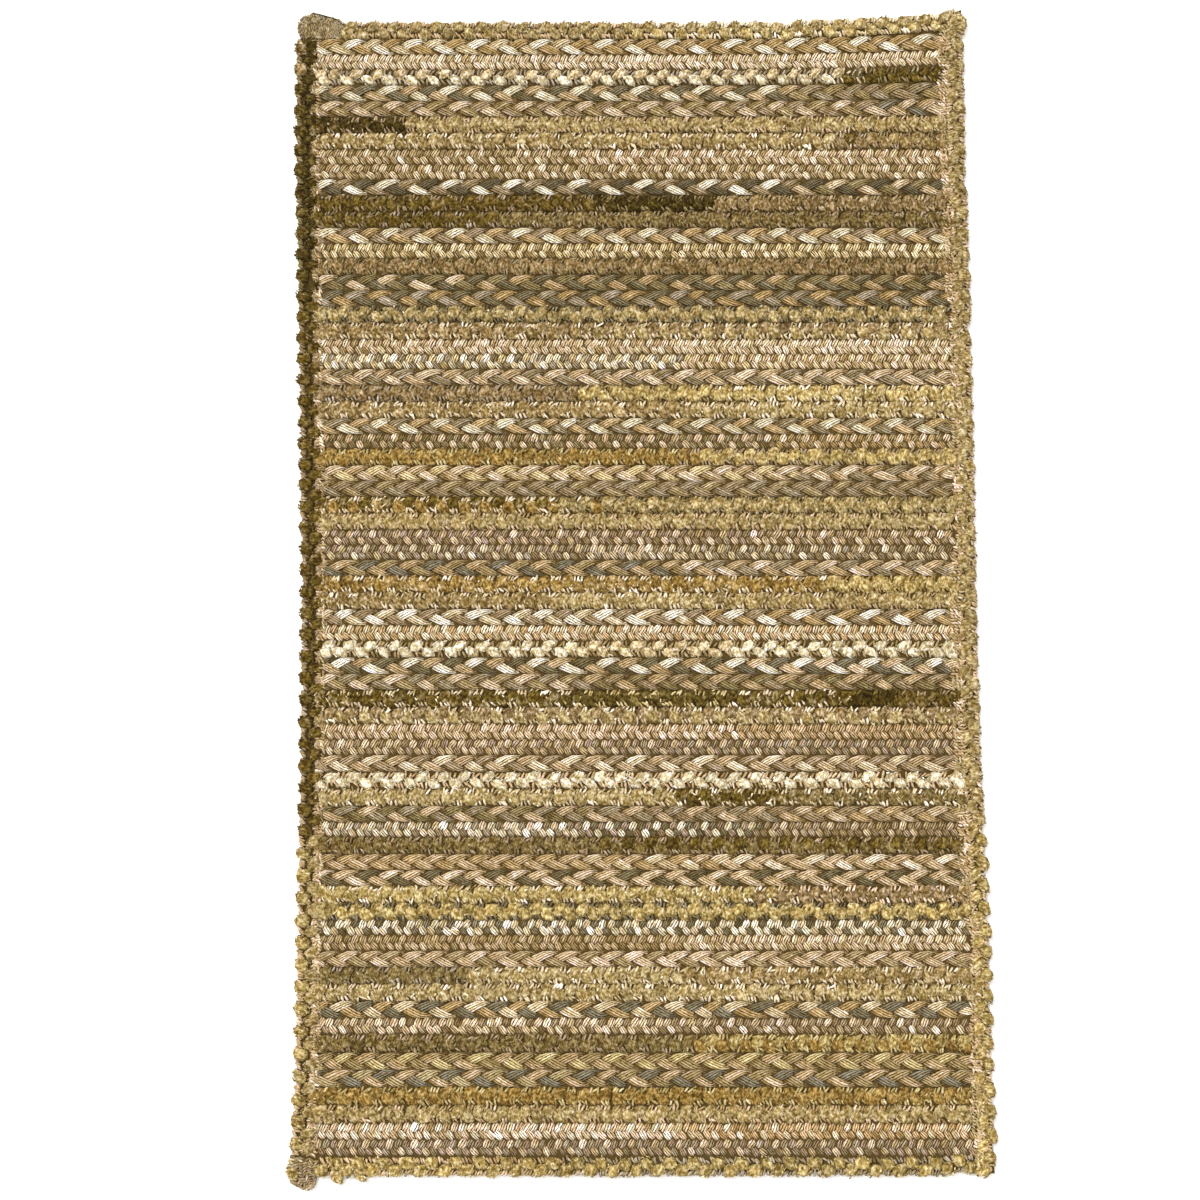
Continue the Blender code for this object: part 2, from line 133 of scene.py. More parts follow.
# One entry for each row, from the top. A plait's yarns are its three strands, a fine
# braid's are its loops in turn, and a chenille braid's are its lumps, its fine
# stitches and, where they differ, the lumps of its lower line. A place is a distance
# from the rug's middle line, to the right.
YARN_CHART = (
    row((-70, (Y.WHITE, Y.GOLD, Y.CREAM)), (END, (Y.WHITE, Y.GOLD, Y.TAN))),
    row(Y.CREAM, Y.PEACH, Y.CREAM),
    row((283, (Y.CREAM, Y.GREY_TAUPE, Y.WHITE)), (305, (Y.BLUE_GREY, Y.CREAM, Y.CREAM)),
        (END, (Y.DARK_OLIVE, Y.OLIVE_BROWN, Y.DARK_OLIVE))),
    row((222, (Y.WHITE, Y.SLATE, Y.TAN)), (END, (Y.OLIVE_TAN, Y.TAUPE, Y.GREY_TAUPE))),
    row((320, (Y.ROSE_TAN, Y.OLIVE_TAN, Y.BROWN)), (END, (Y.ROSE_TAN, Y.BLUE_GREY, Y.TAN))),
    row((-319, (Y.DEEP_OLIVE, Y.TAUPE)), (END, (Y.KHAKI, Y.TAN))),
    row((263, (Y.KHAKI, Y.CREAM, Y.OLIVE_TAN)), (318, (Y.DARK_OLIVE, Y.TAUPE, Y.TAUPE)),
        (END, (Y.OLIVE_TAN, Y.TAUPE, Y.OLIVE_TAN))),
    row((-70, (Y.CREAM, Y.OLIVE_TAN, Y.TAN)), (END, (Y.CREAM, Y.TAN, Y.PEACH))),
    row(Y.CREAM, Y.OLIVE_TAN, Y.TAN),
    row((205, (Y.WHITE, Y.DARK_SLATE, Y.TAUPE)), (END, (Y.ROSE_TAN, Y.DARK_SLATE, Y.OLIVE_BROWN))),
    row((-52, (Y.DARK_OLIVE, Y.TAUPE)), (95, (Y.DEEP_OLIVE, Y.OLIVE_BROWN)),
        (END, (Y.TAUPE, Y.OLIVE_TAN))),
    row((-208, (Y.DARK_OLIVE, Y.GREY_TAUPE)), (END, (Y.OLIVE_BROWN, Y.TAUPE))),
    row(Y.WHITE, Y.GOLD, Y.TAUPE),
    row(Y.YELLOW_CREAM, Y.OLIVE_TAN, Y.YELLOW_CREAM),
    row(Y.BROWN, Y.OLIVE_BROWN),
    row((-240, (Y.SLATE, Y.PINK, Y.OLIVE_BROWN)), (END, (Y.SLATE, Y.TAN, Y.OLIVE_BROWN))),
    row(Y.SLATE, Y.GOLD, Y.GREY_TAUPE),
    row(Y.KHAKI, Y.SLATE),
    row((-70, (Y.TAUPE, Y.CREAM, Y.OLIVE_TAN)), (END, (Y.TAUPE, Y.CREAM, Y.KHAKI))),
    row((60, (Y.CREAM, Y.TAN, Y.PEACH)), (END, (Y.CREAM, Y.CREAM, Y.PEACH))),
    row((60, (Y.YELLOW_CREAM, Y.WHITE, Y.GREY_TAUPE)),
        (END, (Y.YELLOW_CREAM, Y.PEACH, Y.TAN))),
    row(Y.PINK, Y.GREY_TAUPE, Y.TAN),
    row((-84, (Y.TAUPE, Y.GREY_TAUPE)), (130, (Y.STRAW, Y.OLIVE_TAN)),
        (END, (Y.STRAW, Y.CREAM))),
    row((60, (Y.OLIVE_TAN, Y.CREAM)), (END, (Y.KHAKI, Y.CREAM))),
    row(Y.WHITE, Y.GOLD, Y.GREY_TAUPE),
    row((180, (Y.PEACH, Y.OLIVE_BROWN, Y.TAUPE)), (END, (Y.GOLD, Y.OLIVE_TAN, Y.PEACH))),
    row((63, (Y.MUSTARD, Y.KHAKI_GOLD)), (END, (Y.STRAW, Y.TAUPE))),
    row((202, (Y.PINK, Y.YELLOW_CREAM, Y.TAN)), (389, (Y.PINK, Y.GREY_TAUPE, Y.TAN)),
        (END, (Y.PINK, Y.TAN, Y.TAN))),
    row(Y.OLIVE_TAN, Y.GREY_TAUPE, Y.TAUPE),
    row((-90, (Y.DARK_OLIVE, Y.CREAM, Y.MUSTARD)), (END, (Y.KHAKI, Y.OLIVE_BROWN, Y.KHAKI))),
    row(Y.KHAKI, Y.TAN),
    row((160, (Y.PEACH, Y.MAUVE, Y.TAUPE)), (END, (Y.TAUPE, Y.PINK, Y.TAN))),
    row((-70, (Y.CREAM, Y.GREY_TAUPE, Y.MAUVE)), (60, (Y.CREAM, Y.GREY_TAUPE, Y.PINK)),
        (END, (Y.CREAM, Y.GREY_TAUPE, Y.TAUPE))),
    row((60, (Y.OLIVE_TAN, Y.BLUE_GREY, Y.TAN)), (END, (Y.GREY_TAUPE, Y.PINK, Y.TAN))),
    row((254, (Y.MUSTARD, Y.CREAM)), (END, (Y.STRAW, Y.MUSTARD))),
    row((-70, (Y.OLIVE_TAN, Y.CREAM)), (130, (Y.KHAKI, Y.CREAM)), (END, (Y.KHAKI, Y.TAN))),
    row((60, (Y.WHITE, Y.CREAM, Y.BROWN)), (END, (Y.WHITE, Y.GOLD, Y.TAUPE))),
    row(Y.CREAM, Y.CARAMEL, Y.CREAM),
    row((-70, (Y.WHITE, Y.OLIVE_TAN)), (130, (Y.CREAM, Y.OLIVE_TAN)), (END, (Y.WHITE, Y.OLIVE_TAN))),
    row((130, (Y.WHITE, Y.SLATE, Y.TAN)), (END, (Y.WHITE, Y.BLUE_GREY, Y.PEACH))),
    row((-70, (Y.PINK, Y.OLIVE_TAN, Y.GREY_TAUPE)), (END, (Y.TAN, Y.OLIVE_BROWN, Y.TAUPE))),
    row((-70, (Y.DARK_OLIVE, Y.CREAM)), (130, (Y.BARK, Y.STRAW)),
        (265, (Y.DARK_OLIVE, Y.CREAM)), (350, (Y.DEEP_OLIVE, Y.DARK_OLIVE)),
        (END, (Y.DARK_OLIVE, Y.TAUPE))),
    row(Y.TAUPE, Y.CREAM, Y.KHAKI),
    row((130, (Y.PEACH, Y.TAN, Y.PEACH)), (END, (Y.CARAMEL, Y.TAN, Y.TAN))),
    row((-304, (Y.CREAM, Y.ROSE_TAN, Y.TAUPE)), (-70, (Y.ROSE_TAN, Y.MAUVE, Y.TAN)),
        (END, (Y.ROSE_TAN, Y.MAUVE, Y.GREY_TAUPE))),
    row(Y.TAN, Y.CREAM, Y.BROWN),
    row(Y.WHITE, Y.TAN),
    row((55, (Y.KHAKI, Y.CREAM)), (200, (Y.DARK_OLIVE, Y.CREAM)),
        (END, (Y.OLIVE_BROWN, Y.CREAM))),
    row((-70, (Y.TAN, Y.GREY_TAUPE, Y.OLIVE_BROWN)), (200, (Y.TAN, Y.GREY_TAUPE, Y.BROWN)),
        (END, (Y.GOLD, Y.ROSE_TAN, Y.BROWN))),
    row((-70, (Y.WHITE, Y.GREY_TAUPE, Y.PINK)), (160, (Y.WHITE, Y.SLATE, Y.MAUVE)),
        (END, (Y.TAUPE, Y.ROSE_TAN, Y.TAUPE))),
    row((-70, (Y.OLIVE_BROWN, Y.TAUPE, Y.OLIVE_BROWN)), (END, (Y.DARK_OLIVE, Y.TAUPE, Y.OLIVE_BROWN))),
    row((-70, (Y.GOLD, Y.TAN, Y.TAN)), (120, (Y.GOLD, Y.CREAM, Y.TAN)), (END, (Y.CREAM, Y.TAN, Y.TAN))),
    row((-70, (Y.PINK, Y.SLATE, Y.PEACH)), (END, (Y.ROSE_TAN, Y.SLATE, Y.PEACH))),
    row((183, (Y.KHAKI_GOLD, Y.CREAM)), (END, (Y.TAUPE, Y.PEACH))),
    row(Y.STRAW, Y.SLATE),
    row(Y.CREAM, Y.SLATE, Y.WHITE),
    row((60, (Y.TAN, Y.OLIVE_TAN, Y.TAN)), (END, (Y.CREAM, Y.TAN, Y.PEACH))),
    row((-70, (Y.TAN, Y.PINK, Y.OLIVE_TAN)), (130, (Y.PEACH, Y.PINK, Y.OLIVE_TAN)),
        (END, (Y.TAN, Y.PINK, Y.OLIVE_TAN))),
    row((-202, (Y.OLIVE_BROWN, Y.GREY_TAUPE)), (60, (Y.KHAKI, Y.CREAM)),
        (END, (Y.OLIVE_TAN, Y.CREAM))),
    row(Y.KHAKI, Y.CREAM),
    row(Y.BLUE_GREY, Y.CREAM, Y.GOLD),
    row((60, (Y.PEACH, Y.CREAM, Y.BROWN)), (END, (Y.PINK, Y.BROWN, Y.TAUPE))),
    row((73, (Y.OLIVE_BROWN, Y.TAUPE, Y.OLIVE_BROWN)),
        (END, (Y.KHAKI_GOLD, Y.KHAKI_GOLD, Y.MUSTARD))),
    row(Y.OLIVE_TAN, Y.TAN, Y.STRAW),
    row((-70, (Y.BLUE_GREY, Y.KHAKI, Y.TAN)), (END, (Y.BLUE_GREY, Y.OLIVE_TAN, Y.TAN))),
    row(Y.MUSTARD, Y.KHAKI_GOLD),
    row(Y.KHAKI, Y.TAN),
    row((60, (Y.WHITE, Y.PEACH, Y.PEACH)), (END, (Y.CREAM, Y.CARAMEL, Y.CARAMEL))),
    row((-70, (Y.MAUVE, Y.PINK, Y.GREY_TAUPE)), (END, (Y.MAUVE, Y.ROSE_TAN, Y.GREY_TAUPE))),
)


# ----------------------------------------------------------------------- finishes
# Painted shade is browned where it is dark and painted highlight paled where it is bright: the powers
# of the shade that green and blue are raised to within a strand, and all three colours over a whole
# form.
STRAND_SHADE_POWERS = (1.19, 1.90)
FORM_SHADE_POWERS = (1.0, 1.17, 1.6)
# How much of the chart's green and blue a lit strand shows. The blue differs by ply.
GREEN_SHARE = 1.06
BLUE_SHARES = (1.21, 1.36)
# How much the shade varies in black yarn, and how much less for each step of lightness.
DARK_LIVELINESS = 1.15
CALMING = 0.75
# The share of each colour in how light a yarn looks.
LIGHTNESS = (0.3, 0.6, 0.1)
# How much the noise is drawn together along a yarn's length, width and number.
PLY_STREAKS = (0.36, 0.9, 1.0)
TUFT_STREAKS = (3.6, 1.0, 1.4)
# How far the noise shifts for each metre of the rug, so that no two strands are alike.
PLY_SHIFT = 35.0
TUFT_SHIFT = 40.0
# How fine the soft patches all over the rug are, and the pits between fibres.
PATCH_SCALE = 90.0
PIT_SCALE = 240.0


class Socket(Enum):
    """The kinds of socket that a shader group has."""

    NUMBER = "NodeSocketFloat"
    COLOUR = "NodeSocketColor"
    DIRECTION = "NodeSocketVector"


class ShaderGraph:
    """A short way to put nodes into a material or a shader group."""

    def __init__(self, tree: bpy.types.NodeTree) -> None:
        """Works on a node tree."""
        self.tree = tree

    def node(self, kind: str, **settings: object) -> bpy.types.Node:
        """Adds a node.

        Args:
            kind: The node's type.
            settings: Some of its properties, by name.

        Returns:
            The node.
        """
        made = self.tree.nodes.new(kind)
        for name, value in settings.items():
            setattr(made, name, value)
        return made

    def feed(self, socket: bpy.types.NodeSocket, value: object) -> None:
        """Links an output to a socket, or sets the socket's own value.

        Args:
            socket: The input.
            value: An output, or a plain value.
        """
        if isinstance(value, bpy.types.NodeSocket):
            self.tree.links.new(value, socket)
        else:
            socket.default_value = value

    def maths(self, operation: str, *values: object) -> bpy.types.NodeSocket:
        """Works out a number from one to three others.

        Args:
            operation: The Math node's operation.
            values: Outputs or plain numbers.

        Returns:
            The result.
        """
        made = self.node("ShaderNodeMath", operation=operation)
        for socket, value in zip(made.inputs, values):
            self.feed(socket, value)
        return made.outputs[0]

    def vector(self, operation: str, first: object, **others: object) -> bpy.types.NodeSocket:
        """Works out a vector, or for a dot product a number, from vectors.

        Args:
            operation: The Vector Math node's operation.
            first: The first vector.
            others: The second vector or the scale, by those names.

        Returns:
            The result.
        """
        made = self.node("ShaderNodeVectorMath", operation=operation)
        self.feed(made.inputs[0], first)
        if "second" in others:
            self.feed(made.inputs[1], others["second"])
        if "scale" in others:
            self.feed(made.inputs["Scale"], others["scale"])
        return made.outputs["Value" if operation == "DOT_PRODUCT" else "Vector"]

    def noise(self, place: object, scale: float, detail: float) -> bpy.types.NodeSocket:
        """Soft noise from 0 to 1.

        Args:
            place: Where it is read.
            scale: How fine it is.
            detail: How many finer layers it has.

        Returns:
            The noise.
        """
        made = self.node("ShaderNodeTexNoise")
        self.feed(made.inputs["Vector"], place)
        self.feed(made.inputs["Scale"], scale)
        self.feed(made.inputs["Detail"], detail)
        return made.outputs["Fac"]

    def spread(
        self, value: object, low: float, high: float, darkest: float, lightest: float
    ) -> bpy.types.NodeSocket:
        """Maps a range of values onto a range of shades.

        Args:
            value: The value.
            low: The lower end of its range.
            high: The upper end of its range.
            darkest: The shade at the lower end.
            lightest: The shade at the upper end.

        Returns:
            The shade.
        """
        made = self.node("ShaderNodeMapRange")
        for name, given in (
            ("Value", value), ("From Min", low), ("From Max", high),
            ("To Min", darkest), ("To Max", lightest),
        ):
            self.feed(made.inputs[name], given)
        return made.outputs["Result"]


class Lay(Enum):
    """The shader groups, by how the fibres of a yarn lie."""

    PLIES = "Twisted plies"
    TUFTS = "Chenille tufts"

    def group(self) -> bpy.types.NodeTree:
        """Makes the group, once.

        Returns:
            A group that takes a yarn's colour, where on the yarn a point is and where
            on the rug, and puts out the shaded colour and the fibres' height.
        """
        tree = bpy.data.node_groups.get(self.value)
        if tree:
            return tree
        tree = bpy.data.node_groups.new(self.value, "ShaderNodeTree")
        for name, kind in (
            ("Yarn", Socket.COLOUR), ("On the yarn", Socket.DIRECTION),
            ("On the rug", Socket.DIRECTION),
        ):
            tree.interface.new_socket(name, in_out="INPUT", socket_type=kind.value)
        tree.interface.new_socket("Colour", in_out="OUTPUT", socket_type=Socket.COLOUR.value)
        tree.interface.new_socket("Height", in_out="OUTPUT", socket_type=Socket.NUMBER.value)
        graph = ShaderGraph(tree)
        given, out = graph.node("NodeGroupInput"), graph.node("NodeGroupOutput")
        parts = {Lay.PLIES: self.plies, Lay.TUFTS: self.tufts}
        shade, height, number = parts[self](graph, given)
        patches = graph.noise(given.outputs["On the rug"], PATCH_SCALE, 1.0)
        shade = graph.maths("MULTIPLY", shade, graph.spread(patches, 0.3, 0.7, 0.88, 1.08))
        hue = graph.node("ShaderNodeTexWhiteNoise", noise_dimensions="2D")
        graph.feed(hue.inputs["Vector"], number)
        warmth = graph.node("ShaderNodeCombineXYZ")
        for name, share in (("X", 1.0), ("Y", GREEN_SHARE)):
            warmth.inputs[name].default_value = share
        graph.feed(warmth.inputs["Z"], graph.spread(hue.outputs["Value"], 0, 1, *BLUE_SHARES))
        own = graph.vector("MULTIPLY", given.outputs["Yarn"], second=warmth.outputs[0])
        # The painted shade and highlight, with the random tone, are made browner where dark and paler
        # where bright.
        shade_powers = graph.node("ShaderNodeCombineXYZ")
        graph.feed(shade_powers.inputs["X"], shade)
        for name, power in zip("YZ", STRAND_SHADE_POWERS):
            graph.feed(shade_powers.inputs[name], graph.maths("POWER", shade, power))
        coloured = graph.vector("MULTIPLY", own, second=shade_powers.outputs[0])
        graph.feed(out.inputs["Colour"], coloured)
        graph.feed(out.inputs["Height"], height)
        return tree

    def plies(
        self, graph: ShaderGraph, given: bpy.types.Node
    ) -> tuple[bpy.types.NodeSocket, ...]:
        """Plies side by side with painted shade in the grooves between them and a painted highlight on
        their crowns, streaked along their length.

        Args:
            graph: The group's nodes.
            given: The group's inputs.

        Returns:
            The shade, the height and a number of each ply's own.
        """
        lay = given.outputs["On the yarn"]
        parts = graph.node("ShaderNodeSeparateXYZ")
        graph.feed(parts.inputs[0], lay)
        long_way = graph.vector("MULTIPLY", lay, second=PLY_STREAKS)
        spot = graph.vector("SCALE", given.outputs["On the rug"], scale=PLY_SHIFT)
        streaks = graph.noise(graph.vector("ADD", long_way, second=spot), 2.0, 2.0)
        # The grooves waver, as the plies do.
        wavered = graph.maths("MULTIPLY_ADD", streaks, 0.7, parts.outputs["Y"])
        turn = graph.maths("MULTIPLY", graph.maths("SUBTRACT", wavered, 0.35), math.pi)
        crown = graph.maths("ABSOLUTE", graph.maths("SINE", turn))
        # Painted shade in the grooves between plies and a painted highlight on their crowns.
        painted_groove_shade = graph.spread(crown, 0.22, 0.62, 0.0, 1.12)
        shade = graph.maths("MULTIPLY", painted_groove_shade, graph.spread(streaks, 0.34, 0.66, 0.62, 1.18))
        number = graph.node("ShaderNodeCombineXYZ")
        graph.feed(number.inputs["X"], graph.maths("FLOOR", parts.outputs["Y"]))
        graph.feed(number.inputs["Y"], parts.outputs["Z"])
        each = graph.node("ShaderNodeTexWhiteNoise", noise_dimensions="2D")
        graph.feed(each.inputs["Vector"], number.outputs[0])
        shade = graph.maths("MULTIPLY", shade, graph.spread(each.outputs["Value"], 0, 1, 0.68, 1.18))
        return shade, graph.maths("MULTIPLY_ADD", streaks, 0.4, crown), number.outputs[0]

    def tufts(
        self, graph: ShaderGraph, given: bpy.types.Node
    ) -> tuple[bpy.types.NodeSocket, ...]:
        """Short fibres that stand out from the middle of a lump, with painted shade in the pits between
        them.

        Args:
            graph: The group's nodes.
            given: The group's inputs.

        Returns:
            The shade, the height and a number of each spot's own.
        """
        lay, rug = given.outputs["On the yarn"], given.outputs["On the rug"]
        spot = graph.vector("SCALE", rug, scale=TUFT_SHIFT)
        long_way = graph.vector("MULTIPLY", lay, second=TUFT_STREAKS)
        fibres = graph.noise(graph.vector("ADD", long_way, second=spot), 1.3, 1.5)
        pits = graph.noise(rug, PIT_SCALE, 2.5)
        # The pits are painted darker as painted shade. The fibres' streaks add the pile's own random
        # mottle.
        shade = graph.maths(
            "MULTIPLY", graph.spread(pits, 0.38, 0.62, 0.46, 1.22),
            graph.spread(fibres, 0.36, 0.64, 0.50, 1.22),
        )
        # A light yarn's pile looks calmer than a dark one's.
        light = graph.vector("DOT_PRODUCT", given.outputs["Yarn"], second=LIGHTNESS)
        calm = graph.maths("MULTIPLY_ADD", light, -CALMING, DARK_LIVELINESS)
        shade = graph.maths("POWER", graph.maths("MAXIMUM", shade, 0.05), calm)
        return shade, graph.maths("ADD", pits, fibres), graph.vector("FLOOR", lay)


@dataclass(frozen=True)
class YarnFinish:
    """How a kind of yarn takes the light. Its colour is the piece's own, point by point.

    Attributes:
        name: The material's name.
        lay: How its fibres lie.
        roughness: How rough it is.
        sheen: How much its loose fibres shine at a slant.
        relief: How far its fibres stand out.
        sheen_roughness: How wide that shine is.
        specular: How strong its plain reflection is.
    """

    name: str
    lay: Lay
    roughness: float
    sheen: float
    relief: float
    sheen_roughness: float = 0.6
    specular: float = 0.05

    def material(self) -> bpy.types.Material:
        """Makes the material, once.

        Returns:
            The material.
        """
        made = bpy.data.materials.get(self.name)
        if made:
            return made
        made = bpy.data.materials.new(self.name)
        made.use_nodes = True
        graph = ShaderGraph(made.node_tree)
        shader = made.node_tree.nodes["Principled BSDF"]
        for name, value in (
            ("Roughness", self.roughness), ("Sheen Weight", self.sheen),
            ("Sheen Roughness", self.sheen_roughness), ("Specular IOR Level", self.specular),
        ):
            shader.inputs[name].default_value = value
        fibres = graph.node("ShaderNodeGroup", node_tree=self.lay.group())
        yarn = graph.node("ShaderNodeAttribute", attribute_name=YARN_LAYER)
        lay = graph.node("ShaderNodeAttribute", attribute_name=LAY_LAYER)
        place = graph.node("ShaderNodeTexCoord")
        graph.feed(fibres.inputs["Yarn"], yarn.outputs["Color"])
        graph.feed(fibres.inputs["On the yarn"], lay.outputs["Vector"])
        graph.feed(fibres.inputs["On the rug"], place.outputs["Object"])
        graph.feed(shader.inputs["Base Color"], fibres.outputs["Colour"])
        bump = graph.node("ShaderNodeBump")
        bump.inputs["Distance"].default_value = self.relief * MM
        graph.feed(bump.inputs["Height"], fibres.outputs["Height"])
        graph.feed(shader.inputs["Normal"], bump.outputs["Normal"])
        return made


@dataclass(frozen=True)
class PlainFinish:
    """One plain matt colour."""

    name: str
    colour: tuple[float, float, float]
    roughness: float
    specular: float = 0.1

    def material(self) -> bpy.types.Material:
        """Makes the material.

        Returns:
            The material.
        """
        made = bpy.data.materials.new(self.name)
        made.use_nodes = True
        shader = made.node_tree.nodes["Principled BSDF"]
        shader.inputs["Base Color"].default_value = (*self.colour, 1.0)
        shader.inputs["Roughness"].default_value = self.roughness
        shader.inputs["Specular IOR Level"].default_value = self.specular
        return made


YARN_LAYER = "yarn"
LAY_LAYER = "lay"
# The darkest and the lightest that a point's colour may be, as linear light.
DARKEST = 0.004
LIGHTEST = 0.92
SPUN = YarnFinish("Spun yarn", Lay.PLIES, roughness=0.86, sheen=0.02, relief=1.0)
PILE = YarnFinish("Chenille pile", Lay.TUFTS, roughness=0.95, sheen=0.03, relief=1.0)
# A dark brown that stands for the shade deep between the strands: painted shade.
PAINTED_SHADE = PlainFinish("Painted shade sheet", (0.07, 0.044, 0.012), roughness=0.95)
PALE = PlainFinish("Pale floor", (0.94, 0.94, 0.94), roughness=0.9)


# ------------------------------------------------------------------- unit forms
@dataclass(frozen=True)
class Form:
    """A unit shape that a piece is laid up from, and its points."""

    mesh: bpy.types.Mesh
    points: Numbers

    @classmethod
    def of(cls, name: str, bm: bmesh.types.BMesh) -> "Form":
        """Keeps a finished bmesh as a form.

        Args:
            name: The form's name.
            bm: The bmesh, which is freed.

        Returns:
            The form.
        """
        bmesh.ops.recalc_face_normals(bm, faces=bm.faces)
        for face in bm.faces:
            face.smooth = True
        mesh = bpy.data.meshes.new(name)
        bm.to_mesh(mesh)
        bm.free()
        return cls(mesh, points_of(mesh))


def points_of(mesh: bpy.types.Mesh) -> Numbers:
    """Reads a mesh's points.

    Args:
        mesh: The mesh.

    Returns:
        The points, one a row.
    """
    flat = np.zeros(len(mesh.vertices) * 3)
    mesh.vertices.foreach_get("co", flat)
    return flat.reshape(-1, 3)


def placed(name: str, mesh: bpy.types.Mesh) -> bpy.types.Object:
    """Puts a mesh into the scene, at the origin.

    Args:
        name: The object's name.
        mesh: Its mesh.

    Returns:
        The object.
    """
    made = bpy.data.objects.new(name, mesh)
    bpy.context.scene.collection.objects.link(made)
    return made


def rod_form(sides: int, steps: int) -> Form:
    """A closed rod of radius 1 along X from 0 to 1.

    Args:
        sides: Points round the rod.
        steps: Lengths between its rings.

    Returns:
        The rod, its rings counted along X and each ring's points in turn.
    """
    bm = bmesh.new()
    across_x = Matrix.Rotation(math.pi / 2, 4, "Y")
    bmesh.ops.create_circle(bm, cap_ends=False, segments=sides, radius=1.0, matrix=across_x)
    bmesh.ops.spin(
        bm, geom=bm.verts[:] + bm.edges[:], cent=(0, 0, 0), axis=(1, 0, 0), angle=0.0,
        dvec=(1 / steps, 0, 0), steps=steps,
    )
    open_ends = [edge for edge in bm.edges if edge.is_boundary]
    bmesh.ops.holes_fill(bm, edges=open_ends, sides=sides)
    return Form.of("rod", bm)


def stitch_form() -> Form:
    """A closed grain of radius 1, pointed towards both ends of X.

    Returns:
        The form.
    """
    bm = bmesh.new()
    along_x = Matrix.Rotation(math.pi / 2, 4, "Y")
    bmesh.ops.create_uvsphere(bm, u_segments=4, v_segments=4, radius=1.0, matrix=along_x)
    return Form.of("stitch", bm)


def loop_form() -> Form:
    """A closed, rounder grain of radius 1 along X.

    Returns:
        The form.
    """
    bm = bmesh.new()
    along_x = Matrix.Rotation(math.pi / 2, 4, "Y")
    bmesh.ops.create_uvsphere(bm, u_segments=8, v_segments=4, radius=1.0, matrix=along_x)
    return Form.of("loop", bm)


def lump_form() -> Form:
    """A closed ball of radius 1.

    Returns:
        The form.
    """
    bm = bmesh.new()
    bmesh.ops.create_uvsphere(bm, u_segments=7, v_segments=5, radius=1.0)
    return Form.of("lump", bm)


def tuft_form() -> Form:
    """A closed tuft of radius 1 that stands 1 high on its foot and ends in a point.

    Returns:
        The form.
    """
    bm = bmesh.new()
    bmesh.ops.create_cone(
        bm, cap_ends=True, segments=4, radius1=1.0, radius2=0.0, depth=1.0,
        matrix=Matrix.Translation((0.0, 0.0, 0.5)),
    )
    return Form.of("tuft", bm)


class Layup:
    """A piece laid up from many copies of unit forms."""

    def __init__(self, name: str) -> None:
        """Starts an empty piece.

        Args:
            name: The piece's name.
        """
        self.name = name
        self.bm = bmesh.new()
        self.points: list[Numbers] = []
        self.tints: list[Numbers] = []
        self.lays: list[Numbers] = []
        self.finishes: list[YarnFinish] = []
        self.worn: list[Numbers] = []

    def add(
        self, form: Form, points: Numbers, tints: Numbers, lay: Numbers, finish: YarnFinish
    ) -> None:
        """Adds copies of a form.

        Args:
            form: The unit form.
            points: For each copy, its points, in millimetres.
            tints: For each copy, its points' colours as linear light.
            lay: Where on its yarn each point is, alike for every copy or one by one.
            finish: The finish that the copies wear.
        """
        for _ in range(len(points)):
            self.bm.from_mesh(form.mesh)
        if finish not in self.finishes:
            self.finishes.append(finish)
        faces = len(points) * len(form.mesh.polygons)
        self.worn.append(np.full(faces, self.finishes.index(finish), np.int32))
        self.points.append(points.reshape(-1, 3))
        self.tints.append(np.broadcast_to(tints, points.shape).reshape(-1, 3))
        self.lays.append(np.broadcast_to(lay, points.shape).reshape(-1, 3))

    def piece(self) -> bpy.types.Object:
        """Turns what was laid up into one object at the origin.

        Returns:
            The piece.
        """
        mesh = bpy.data.meshes.new(self.name)
        self.bm.to_mesh(mesh)
        self.bm.free()
        mesh.vertices.foreach_set("co", (np.concatenate(self.points) * MM).ravel())
        mesh.polygons.foreach_set("material_index", np.concatenate(self.worn))
        tints = np.concatenate(self.tints).clip(DARKEST, LIGHTEST)
        layer = mesh.color_attributes.new(name=YARN_LAYER, type="FLOAT_COLOR", domain="POINT")
        layer.data.foreach_set("color", np.column_stack([tints, np.ones(len(tints))]).ravel())
        lays = mesh.attributes.new(name=LAY_LAYER, type="FLOAT_VECTOR", domain="POINT")
        lays.data.foreach_set("vector", np.concatenate(self.lays).ravel())
        for finish in self.finishes:
            mesh.materials.append(finish.material())
        mesh.update()
        return placed(self.name, mesh)


# ----------------------------------------------------------------------- tracks
def wander(places: Numbers, pitch: float, amount: float, rng: np.random.Generator) -> Numbers:
    """A smooth random drift.

    Args:
        places: Where it is wanted.
        pitch: The distance between its turning points.
        amount: Its usual size.
        rng: The source of its randomness.

    Returns:
        The drift at each place.
    """
    low = float(places.min()) - pitch
    knots = np.arange(low, float(places.max()) + 2 * pitch, pitch)
    values = rng.normal(0.0, amount, len(knots))
    at = (places - low) / pitch
    first = at.astype(int)
    turn = (1 - np.cos(np.pi * (at - first))) / 2
    return values[first] * (1 - turn) + values[first + 1] * turn


# A strip's direction is measured over this far to each side of a place.
DIRECTION_SPAN = 20.0


